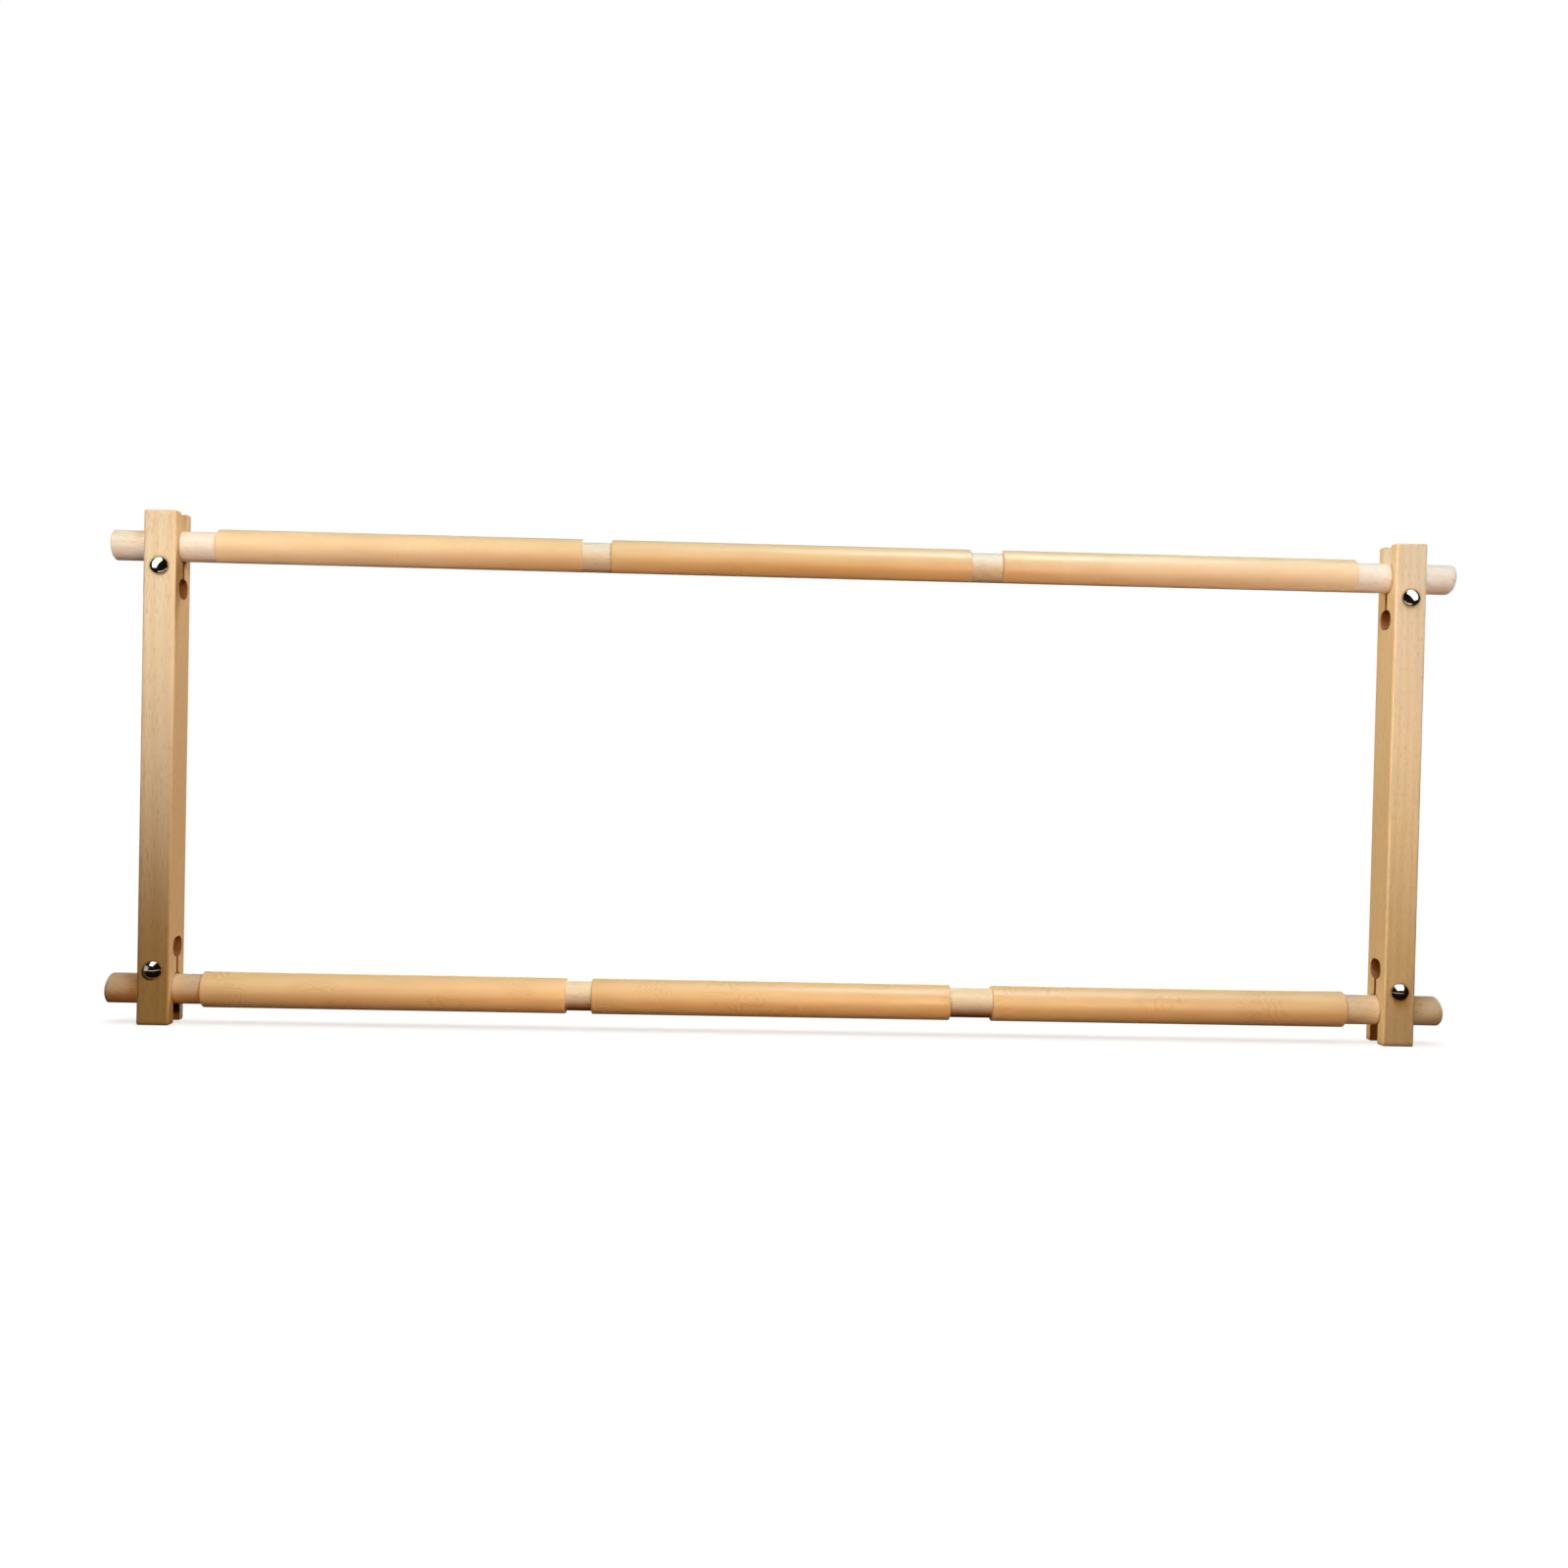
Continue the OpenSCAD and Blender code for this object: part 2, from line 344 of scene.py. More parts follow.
    def _flecks(self, tree: Tree) -> Socket:
        """Ray flecks: short dashes along the fibres, where stretched noise is highest.

        Args:
            tree: The material's node tree.

        Returns:
            The strength of the fleck at each point.
        """
        noise = self._noise(tree, self.fleck_width, self.fleck_length / self.fleck_width, 0.0, 0.55)
        levels = {0: noise, 1: 0.62, 2: 0.74, 3: 0.0, 4: self.fleck_strength}
        return add_node(tree, "MapRange", levels, interpolation_type="SMOOTHSTEP").outputs[0]

    def _ends(self, tree: Tree) -> Socket:
        """How squarely a face looks along the fibres, as a sawn end does. Its pores drink more light.

        Args:
            tree: The material's node tree.

        Returns:
            A value from 0 on the sides to 1 on the ends.
        """
        facing = add_node(tree, "TexCoord").outputs["Normal"]
        axes = add_node(tree, "SeparateXYZ", {0: facing})
        return add_node(tree, "Math", {0: axes.outputs[self.grain.value]}, operation="ABSOLUTE").outputs[0]


@dataclass(frozen=True)
class TanPlastic:
    """Extruded PVC in a wood tan. The eye sees a smooth satin tube with a faint swirling wood figure."""

    name: str
    tan: str
    deep: str
    shift: float
    swirl_strength: float
    # How many lines the figure draws between the noise's lowest and highest value.
    swirl_lines: float = 11.0
    roughness: float = 0.42
    ior: float = 1.53

    def build(self) -> Material:
        """Builds the plastic with draw lines along it and patches of swirling lines.

        The lines are like those of flat-sawn wood: the contours of slow noise, taken as the
        sine of its height.

        Returns:
            The material.
        """
        material, shader = new_material(self.name)
        tree = material.node_tree
        deep = linear(self.deep)
        turns = {0: self._noise(tree, (9.0, 4.5, 4.5), 0.0), 1: math.tau * self.swirl_lines}
        angle = add_node(tree, "Math", turns, operation="MULTIPLY").outputs[0]
        swirls = add_node(tree, "Math", {0: angle}, operation="SINE").outputs[0]
        mottle = self._noise(tree, (14.0, 6.0, 6.0), 2.0)
        patches = self._noise(tree, (16.0, 9.0, 9.0), 0.0)
        draw = self._noise(tree, (60.0, 0.7, 0.7), 1.0)
        mottled = lay_over(tree, linear(self.tan), deep, mottle, (0.35, 0.7), (0.0, 0.12))
        lined = lay_over(tree, mottled, deep, swirls, (-0.2, 1.0), (0.0, self.swirl_strength))
        colour = lay_over(tree, mottled, lined, patches, (0.48, 0.62))
        dress(shader, colour, draw, (self.roughness - 0.04, self.roughness + 0.06), draw, 0.2, 0.04)
        shader.inputs["IOR"].default_value = self.ior
        return material

    def _noise(self, tree: Tree, size: Point, detail: float) -> Socket:
        """Noise whose grains have a given size in mm along each axis."""
        return grained_noise(tree, size, (self.shift, -self.shift, self.shift * 0.5), detail)


@dataclass(frozen=True)
class PlatedSteel:
    """Plated steel, from mirror nickel to dull zinc, by its roughness and the size of its grain."""

    name: str
    bright: str
    dull: str
    roughness: float
    rough_spread: float
    # Size of the plating's grain in millimetres, and how deep it is in micrometres.
    grain: float
    depth: float
    # How many grains wide the clouds in the plating are.
    cloud_grains: float = 6.0

    def build(self) -> Material:
        """Builds the metal with cloudy plating and a fine uneven skin.

        Returns:
            The material.
        """
        material, shader = new_material(self.name)
        tree = material.node_tree
        start = (0.0, 0.0, 0.0)
        grain = grained_noise(tree, (self.grain,) * 3, start, 3.0, 1.0)
        cloud = grained_noise(tree, (self.grain * self.cloud_grains,) * 3, start, 2.0, 1.0)
        colour = lay_over(tree, linear(self.bright), linear(self.dull), cloud, (0.35, 0.7))
        gloss = (self.roughness - self.rough_spread, self.roughness + self.rough_spread)
        dress(shader, colour, grain, gloss, grain, 0.5, self.depth * MM)
        shader.inputs["Metallic"].default_value = 1.0
        return material


def add_object(name: str, data: bpy.types.ID) -> Piece:
    """Adds an object to the scene.

    Args:
        name: The object's name.
        data: Its mesh, lamp or camera.

    Returns:
        The new object.
    """
    made = bpy.data.objects.new(name, data)
    bpy.context.scene.collection.objects.link(made)
    return made


def fill_mesh(name: str, points: np.ndarray, faces: list[list[int]], flat: np.ndarray) -> Piece:
    """Puts points in millimetres into a new mesh object at the origin.

    Args:
        name: The object's name.
        points: An array whose last axis is X, Y, Z.
        faces: Corner numbers of each face.
        flat: True for each face that is shaded flat.

    Returns:
        The new object.
    """
    mesh = bpy.data.meshes.new(name)
    mesh.from_pydata((points.reshape(-1, 3) * MM).tolist(), [], faces)
    mesh.polygons.foreach_set("use_smooth", ~flat)
    mesh.update()
    return add_object(name, mesh)


def read_all(items: Any, what: str, width: int = 1, kind: type = float) -> np.ndarray:
    """Reads one property of all faces or vertices.

    Args:
        items: The faces or vertices.
        what: The property's name.
        width: How many numbers it has.
        kind: The type of the numbers.

    Returns:
        One row for each face or vertex, or one number for each where width is 1.
    """
    values = np.empty(len(items) * width, kind)
    items.foreach_get(what, values)
    return values.reshape(-1, width) if width > 1 else values


def grid_faces(rows: int, columns: int) -> list[list[int]]:
    """Numbers the quads of a grid of points, whose rows run back to their own start.

    Args:
        rows: Number of rows.
        columns: Number of points in a row.

    Returns:
        The corner numbers of each quad.
    """
    row, column = np.meshgrid(np.arange(rows - 1), np.arange(columns), indexing="ij")
    after = (column + 1) % columns
    corners = [row * columns + column, row * columns + after]
    corners += [(row + 1) * columns + after, (row + 1) * columns + column]
    return np.stack(corners, axis=-1).reshape(-1, 4).tolist()


def full_turn(columns: int) -> np.ndarray:
    """Evenly spaced angles of a full turn, in radians."""
    return np.linspace(0, math.tau, columns, endpoint=False)


def unit_circle(angle: np.ndarray | float) -> np.ndarray:
    """Points of the unit circle, as (cosine, sine) of each angle."""
    return np.stack([np.cos(angle), np.sin(angle)], axis=-1)


def turned_points(along: np.ndarray, radius: np.ndarray, angle: np.ndarray, axis: int) -> np.ndarray:
    """Carries radii round an axis.

    The point is at the given distance along the axis and at radius times (sine, cosine) of the
    angle on the two axes that follow it, taken so that the angle turns right-handed.

    Args:
        along: Distance along the axis, for each row or for each row and angle.
        radius: Radius, for each row or for each row and angle.
        angle: The angles of a row.
        axis: 0 for X or 1 for Y.

    Returns:
        An array of rows, columns and X, Y, Z.
    """
    along, radius = (value if value.ndim == 2 else value[:, None] for value in (along, radius))
    sine, cosine = radius * np.sin(angle), radius * np.cos(angle)
    level = np.broadcast_to(along, sine.shape)
    return np.stack([level, cosine, sine] if axis == 0 else [sine, level, cosine], axis=-1)


def quarter_round(radius: float, steps: int) -> tuple[np.ndarray, np.ndarray]:
    """A quarter circle, as depth below the outer radius against distance from the end.

    Depth is radius * (1 - sin t) and distance radius * (1 - cos t), for t from 0 to 90 degrees.

    Args:
        radius: Radius of the rounding.
        steps: Number of points.

    Returns:
        The distances and the depths.
    """
    turn = np.linspace(0, math.pi / 2, steps)
    return radius * (1 - np.cos(turn)), radius * (1 - np.sin(turn))


def square_radii(angle: np.ndarray, half: float, corner: float = math.inf) -> np.ndarray:
    """Radius of a square round its centre at each angle: half over the larger of sine and cosine.

    Args:
        angle: Angles in radians.
        half: Half the square's width.
        corner: Greatest radius, which cuts the corners round.

    Returns:
        The radii.
    """
    return np.minimum(half / np.maximum(np.abs(np.sin(angle)), np.abs(np.cos(angle))), corner)


def closed_grid(name: str, points: np.ndarray, smooth: bool = True) -> Piece:
    """Makes a closed solid from rings of points, with a flat lid at each end.

    Args:
        name: The object's name.
        points: Rows of rings, as rows by columns by X, Y, Z.
        smooth: Whether the skin between the lids is shaded smooth.

    Returns:
        The new object, with its faces outwards.
    """
    rows, columns = points.shape[:2]
    first = list(range(columns))[::-1]
    last = [(rows - 1) * columns + number for number in range(columns)]
    faces = grid_faces(rows, columns) + [first, last]
    flat = np.full(len(faces), not smooth)
    flat[-2:] = True
    made = fill_mesh(name, points, faces, flat)
    point_outwards(made)
    return made


def point_outwards(piece: Piece) -> None:
    """Merges the doubles of a closed piece and turns its faces outwards.

    Args:
        piece: The piece.
    """
    shell = bmesh.new()
    shell.from_mesh(piece.data)
    bmesh.ops.remove_doubles(shell, verts=shell.verts, dist=0.0005 * MM)
    bmesh.ops.recalc_face_normals(shell, faces=shell.faces)
    shell.to_mesh(piece.data)
    shell.free()


def apply_modifiers(piece: Piece) -> None:
    """Replaces a piece's mesh by the one that its modifiers make.

    Args:
        piece: The piece.
    """
    graph = bpy.context.evaluated_depsgraph_get()
    made = bpy.data.meshes.new_from_object(piece.evaluated_get(graph))
    piece.modifiers.clear()
    piece.data = made


def cut_away(piece: Piece, cutter: Piece) -> None:
    """Cuts one closed shape out of another and deletes the cutter.

    Args:
        piece: The shape that stays.
        cutter: The shape that is cut out of it.
    """
    cut = piece.modifiers.new("cut", "BOOLEAN")
    cut.operation = "DIFFERENCE"
    cut.solver = "EXACT"
    cut.object = cutter
    apply_modifiers(piece)
    bpy.data.objects.remove(cutter)


def settle(piece: Piece, node: str, body: str, slot: str, *finishes: Material) -> None:
    """Gives a piece its finishes, its CAD node and the body that it rides on.

    Args:
        piece: The finished piece, whose faces already name their finish by number.
        node: The CAD node that it stands for.
        body: The body that it rides on.
        slot: The record's slot of its finish. Not used.
        *finishes: The materials, in the order of the faces' numbers.
    """
    faces = piece.data.polygons
    numbers = read_all(faces, "material_index", kind=np.int32)
    piece.data.materials.clear()
    for finish in finishes:
        piece.data.materials.append(finish)
    faces.foreach_set("material_index", numbers)
    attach(piece, body)
    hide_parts(node)
    log.info("%s: %d faces, rides on %s", piece.name, len(faces), body)


@dataclass
class EdgeRun:
    """A stretch of a bar's outline in the Y-Z plane, with the wood on its left.

    points are in order, inward holds the unit way into the wood at each of them, and edge is
    the rounding where the stretch meets the bar's two side faces.
    """

    points: np.ndarray
    inward: np.ndarray
    edge: float


def straight_run(start: tuple[float, float], end: tuple[float, float], edge: float) -> EdgeRun:
    """A straight stretch of outline.

    Args:
        start: Y and Z of its first point.
        end: Y and Z of its last point.
        edge: Rounding where it meets the side faces.

    Returns:
        The stretch of outline.
    """
    points = np.array([start, end], float)
    way = (points[1] - points[0]) / np.linalg.norm(points[1] - points[0])
    return EdgeRun(points, np.repeat([[-way[1], way[0]]], 2, axis=0), edge)


def hollow_run(
    centre: tuple[float, float], radius: float, start: float, end: float, step: float, edge: float,
    spread: float = 0.0
) -> EdgeRun:
    """A round or oblong hollow in the wood, run clockwise.

    The points are centre plus radius times (cosine, sine), and the wood lies outwards. An
    oblong one moves each point sideways by spread, with a quick change of sides at the top.

    Args:
        centre: Y and Z of the hollow's axis.
        radius: Radius of the hollow.
        start: Angle of the first point, in degrees.
        end: Angle of the last point, which is lower.
        step: Greatest angle between two points.
        edge: Rounding where the hollow meets the side faces.
        spread: Distance of an oblong hollow's two round ends from its centre.

    Returns:
        The stretch of outline.
    """
    count = math.ceil((start - end) / step) + 1
    outward = unit_circle(np.radians(np.linspace(start, end, count)))
    points = np.array(centre) + radius * outward
    points[:, 0] += spread * np.clip(SIDE_CHANGE * outward[:, 0], -1, 1)
    return EdgeRun(points, outward, edge)


def soften_corner(before: EdgeRun, after: EdgeRun, reach: float) -> tuple[np.ndarray, ...]:
    """Rounds the corner between two stretches with a parabola.

    The curve starts reach before the corner and ends reach after it, and the corner itself
    is its control point. All of its points move inwards by one shift, which keeps step with
    the roundings of both stretches.

    Args:
        before: The stretch that ends at the corner.
        after: The stretch that starts there.
        reach: How far the curve takes from each.

    Returns:
        The points, the shift of each at full depth, and the edge rounding of each.
    """
    corner = before.points[-1]
    start, end = (corner + reach * way / np.linalg.norm(way) for way in (
        before.points[-2] - corner, after.points[1] - corner,
    ))
    share = np.linspace(0, 1, CORNER_STEPS)[:, None]
    points = (1 - share) ** 2 * start + 2 * share * (1 - share) * corner + share ** 2 * end
    normals = np.array([before.inward[-1], after.inward[0]])
    shift = np.linalg.solve(normals, np.array([before.edge, after.edge]))
    edges = before.edge + (after.edge - before.edge) * share[:, 0]
    return points, np.repeat(shift[None], CORNER_STEPS, axis=0), edges


@dataclass
class SideBars:
    """The two beech bars, each with a keyhole clamp jaw at both ends."""

    length: float = BAR_LENGTH
    width: float = 19.0
    depth: float = BAR_DEPTH
    centre_x: float = BAR_X
    front_y: float = FRONT_Y
    # Roundings of the long edges, of the sawn ends, and of everything that is cut in the jaws.
    long_edge: float = 1.5
    end_edge: float = 0.9
    cut_edge: float = 0.25
    seat_edge: float = 1.4
    end_corner: float = 1.1
    cut_corner: float = 0.25
    seat_y: float = DOWEL_Y
    seat_inset: float = DOWEL_INSET
    seat_radius: float = 9.05
    mouth: float = 12.0
    # How far the walls of a mouth reach from the bar's end to the seat.
    mouth_depth: float = 13.0
    kerf: float = 3.2
    relief_radius: float = 6.0
    relief_spread: float = 2.0
    relief_inset: float = 45.5
    bolt_inset: float = BOLT_INSET
    bolt_hole: float = 2.75
    neck_recess: float = 5.2
    neck_depth: float = 3.0
    # How far the drill starts in front of the bar and comes out behind it.
    drill_past: float = 2.0
    drill_columns: int = 48
    # Steps of an edge's rounding, and greatest angles between two points of a seat or relief hole.
    layers: int = 7
    seat_step: float = 5.0
    relief_step: float = 6.0
    # Faces larger than this, in square millimetres, are planed and not part of a rounding.
    flat_area: float = 60.0
    # Each bar's shift of the grain, and Y of the middle of its growth rings.
    boards: tuple[tuple[Side, float, float], ...] = ((Side.LEFT, 1.7, 64.0), (Side.RIGHT, 5.3, -71.0))
    pith_away: float = 38.0

    def build(self) -> None:
        """Builds both bars and dresses them."""
        for side, shift, pith_y in self.boards:
            name = f"{side.word}_side_bar"
            x = side.value * self.centre_x
            bar = self._shell(f"{name}_planed", x)
            for level in Level:
                self._drill(bar, x, level.height(self.bolt_inset))
            self._mark_faces(bar)
            board = {"grain": Grain.ALONG_Z, "pith": (x + self.pith_away, pith_y), "shift": shift}
            # The sanded finish carries painted shade in its nooks and next to the dowels.
            sanded = Beech(
                f"{side.word}_bar_sanded_beech", pale="E8CBA2", deep="DDBA8C", fleck="B88D60",
                contact_strength=1.0, **board,
            )
            # The jaws' walls get a dark red brown: partly the burnish that drilling, sawing and the turning
            # dowels leave, partly painted shade of the jaws' hollows; on the lower mouths it is painted shade
            # alone.
            burnish_and_painted_shade = Beech(
                f"{side.word}_jaw_burnished_beech", pale="A87850", deep="8F5F3A", fleck="6E4426",
                roughness=0.6, **board,
            )
            # The walls of the upper mouths get a paler, greyer copy of the wood as painted light, where light
            # from above falls into them.
            painted_light_mouth = Beech(
                f"{side.word}_mouth_raw_beech", pale="E4D4BC", deep="D8C6AC", fleck="B89C78",
                roughness=0.65, **board,
            )
            finishes = [finish.build() for finish in (sanded, burnish_and_painted_shade, painted_light_mouth)]
            settle(bar, name, f"{side.word}_arm", "side_bar_wood", *finishes)

    def _mark_faces(self, bar: Piece) -> None:
        """Shades the planed faces flat and numbers the finishes of the jaws' walls.

        Finish 1, dark red brown, is burnish and painted shade in the seats and cuts, and painted shade alone
        in the lower mouths. Finish 2, pale, is painted light in the upper mouths.

        Args:
            bar: The finished bar.
        """
        faces = bar.data.polygons
        rounded = read_all(faces, "area") < self.flat_area * MM * MM
        faces.foreach_set("use_smooth", read_all(faces, "use_smooth", kind=bool) & rounded)
        centre = read_all(faces, "center", 3) / MM
        end = np.minimum(centre[:, 2], self.length - centre[:, 2])
        aside = np.abs(centre[:, 1] - self.seat_y)
        in_seat = np.hypot(aside, end - self.seat_inset) < self.seat_radius + self.seat_edge + self.cut_edge
        relief_top = self.relief_inset + self.relief_radius + self.cut_edge
        in_relief = (aside < self.seat_radius) & (end > self.seat_inset) & (end < relief_top)
        deep = end > self.mouth_depth
        in_mouth = (aside < self.mouth / 2 + self.cut_edge) & ~deep & (end > self.end_edge)
        # The same sawn mouth walls get the dark finish at the bottom as painted shade and the pale finish at
        # the top as painted light.
        low = centre[:, 2] < self.length / 2
        in_jaw = in_seat & deep | in_relief | in_mouth & low
        wall = np.abs(read_all(faces, "normal", 3)[:, 0]) < 0.9
        finish = np.where(in_jaw, 1, np.where(in_mouth, 2, 0)) * wall
        faces.foreach_set("material_index", finish.astype(np.int32))

    def _jaw(self) -> list[EdgeRun]:
        """The lower end of the outline, from the front face round the jaw to the back face.

        Returns:
            The stretches in order.
        """
        front, back = self.front_y, self.front_y + self.depth
        y, z, radius = self.seat_y, self.seat_inset, self.seat_radius
        half, slit = self.mouth / 2, self.kerf / 2
        mouth_angle = math.degrees(math.acos(half / radius))
        mouth_top = z - math.sqrt(radius ** 2 - half ** 2)
        slit_angle = math.degrees(math.acos(slit / radius))
        slit_low = z + math.sqrt(radius ** 2 - slit ** 2)
        relief_turn = math.acos(slit / (self.relief_radius + SIDE_CHANGE * self.relief_spread))
        relief_angle = math.degrees(relief_turn)
        slit_high = self.relief_inset - self.relief_radius * math.sin(relief_turn)
        cut, step, seat_edge = self.cut_edge, self.seat_step, self.seat_edge
        return [
            straight_run((front, 0), (y - half, 0), self.end_edge),
            straight_run((y - half, 0), (y - half, mouth_top), cut),
            hollow_run((y, z), radius, 180 + mouth_angle, 180 - slit_angle, step, seat_edge),
            straight_run((y - slit, slit_low), (y - slit, slit_high), cut),
            hollow_run(
                (y, self.relief_inset), self.relief_radius, 180 + relief_angle, -relief_angle,
                self.relief_step, cut, self.relief_spread,
            ),
            straight_run((y + slit, slit_high), (y + slit, slit_low), cut),
            hollow_run((y, z), radius, slit_angle, -mouth_angle, step, seat_edge),
            straight_run((y + half, mouth_top), (y + half, 0), cut),
            straight_run((y + half, 0), (back, 0), self.end_edge),
        ]

    def _outline(self) -> tuple[np.ndarray, ...]:
        """Joins all stretches with softened corners.

        The upper jaw is the lower one turned over and run backwards.

        Returns:
            Points in the Y-Z plane, the shift of each at full depth, and its edge rounding.
        """
        front, back = self.front_y, self.front_y + self.depth
        flip, lift = np.array([1, -1]), np.array([0, self.length])
        runs = self._jaw()
        upper = [
            EdgeRun(run.points[::-1] * flip + lift, run.inward[::-1] * flip, run.edge) for run in runs[::-1]
        ]
        runs += [straight_run((back, 0), (back, self.length), self.long_edge), *upper]
        runs += [straight_run((front, self.length), (front, 0), self.long_edge)]
        parts = []
        for run, after in zip(runs, runs[1:] + runs[:1]):
            edges = np.full(len(run.points) - 2, run.edge)
            parts.append((run.points[1:-1], run.inward[1:-1] * run.edge, edges))
            outer = {run.edge, after.edge} == {self.long_edge, self.end_edge}
            parts.append(soften_corner(run, after, self.end_corner if outer else self.cut_corner))
        return tuple(np.concatenate(kind) for kind in zip(*parts))

    def _shell(self, name: str, centre: float) -> Piece:
        """Carries the outline across the bar.

        At an angle t from 90 degrees to 0 a point stands edge * (1 - sin t) inside the bar's
        side face and shift * (1 - cos t) inside the outline, which rounds every edge.

        Args:
            name: The object's name.
            centre: X of the middle of the bar.

        Returns:
            The bar without its bolt holes.
        """
        points, shifts, edges = self._outline()
        turn = np.linspace(math.pi / 2, 0, self.layers)[:, None]
        across = self.width / 2 - edges[None] * (1 - np.sin(turn))
        section = points[None] + shifts[None] * (1 - np.cos(turn))[..., None]
        across = np.concatenate([-across, across[::-1]])
        section = np.concatenate([section, section[::-1]])
        return closed_grid(name, np.concatenate([(centre + across)[..., None], section], axis=-1))

    def _drill(self, bar: Piece, x: float, z: float) -> None:
        """Cuts a bolt hole through both cheeks, with the square recess of the bolt's neck.

        Args:
            bar: The bar.
            x: X of the hole's axis.
            z: Z of the hole's axis.
        """
        angle = full_turn(self.drill_columns)
        for reach, radii in (
            (self.depth + self.drill_past, np.full(len(angle), self.bolt_hole)),
            (self.neck_depth, square_radii(angle, self.neck_recess / 2)),
        ):
            along = np.array([self.front_y - self.drill_past, self.front_y + reach])
            points = turned_points(along, np.repeat(radii[None], 2, axis=0), angle, 1)
            cut_away(bar, closed_grid("drill", points + np.array([x, 0, z]), smooth=False))


@dataclass(frozen=True)
class HandRim:
    """The hand-sanded rim of a dowel's end, which is rounder on the side that faces the other dowel.

    run is how far the rounding reaches along the dowel and drop how far it reaches inwards.
    Both grow by their leans towards that side, and shrink as much on the far one.
    """

    run: float
    run_lean: float
    drop: float
    drop_lean: float


@dataclass
class Dowels:
    """The two rollers, plain dowels with rounded rims."""

    radius: float = 9.0
    half_length: float = 405.5
    axis_y: float = DOWEL_Y
    inset: float = DOWEL_INSET
    # The rims of the left and right ends.
    top_rims: tuple[HandRim, HandRim] = (HandRim(1.5, 0.5, 2.4, 1.2), HandRim(3.0, 1.9, 4.4, 2.2))
    bottom_rims: tuple[HandRim, HandRim] = (HandRim(2.7, 1.4, 4.2, 1.7), HandRim(4.4, 1.1, 6.8, 1.6))
    # The middle of the growth rings, as Y and Z from the dowel's axis.
    top_pith: tuple[float, float] = (31.0, 58.0)
    bottom_pith: tuple[float, float] = (-44.0, -39.0)
    rim_steps: int = 10
    columns: int = 72
    rows: int = 24

    def build(self) -> None:
        """Builds both dowels and dresses them."""
        for level, rims, pith in (
            (Level.TOP, self.top_rims, self.top_pith), (Level.BOTTOM, self.bottom_rims, self.bottom_pith),
        ):
            name = f"{level.word}_roller"
            finish = Beech(
                name=f"{level.word}_dowel_pale_beech", grain=Grain.ALONG_X, pale="F8DFC6", deep="EDD0B2",
                fleck="C3A684", pith=(self.axis_y + pith[0], level.height(self.inset) + pith[1]),
                shift=3.1 + level.value, fleck_strength=0.35, ring_strength=0.3, ring_spacing=4.0,
                roughness=0.5,
            )
            settle(self._turned(f"{name}_turned", level, rims), name, name, "roller_wood", finish.build())

    def _turned(self, name: str, level: Level, rims: tuple[HandRim, HandRim]) -> Piece:
        """Turns a dowel: a cylinder whose last millimetres follow quarter ellipses.

        At a turn t from 0 to 90 degrees a rim stands run * (1 - cos t) inside the dowel's end
        and drop * (1 - sin t) inside its surface.

        Args:
            name: The object's name.
            level: The dowel's place.
            rims: The rims of its left and right ends.

        Returns:
            The dowel.
        """
        angle = full_turn(self.columns)
        away, below = quarter_round(1.0, self.rim_steps)
        # The angle starts at the back and turns upwards, so that its sine is 1 on top.
        facing = -level.value * np.sin(angle)
        ends = []
        for side, rim in zip(Side, rims):
            inset = (rim.run + rim.run_lean * facing) * away[:, None]
            depth = (rim.drop + rim.drop_lean * facing) * below[:, None]
            ends.append((side.value * (self.half_length - inset), self.radius - depth))
        (left_x, left_radius), (right_x, right_radius) = ends
        share = np.linspace(0, 1, self.rows)[1:-1, None]
        middle_x = (1 - share) * left_x[-1] + share * right_x[-1]
        along = np.concatenate([left_x, middle_x, right_x[::-1]])
        radii = np.concatenate([left_radius, np.full(middle_x.shape, self.radius), right_radius[::-1]])
        place = np.array([0, self.axis_y, level.height(self.inset)])
        return closed_grid(name, turned_points(along, radii, angle, 0) + place)


@dataclass(frozen=True)
class SleeveRow:
    """The three sleeves of one dowel.

    starts are the X of their left ends, turn is the way that their openings face, in degrees
    up from straight back, and swirls is the strength of their wood figure.
    """

    level: Level
    starts: tuple[float, ...]
    turn: float
    swirls: float


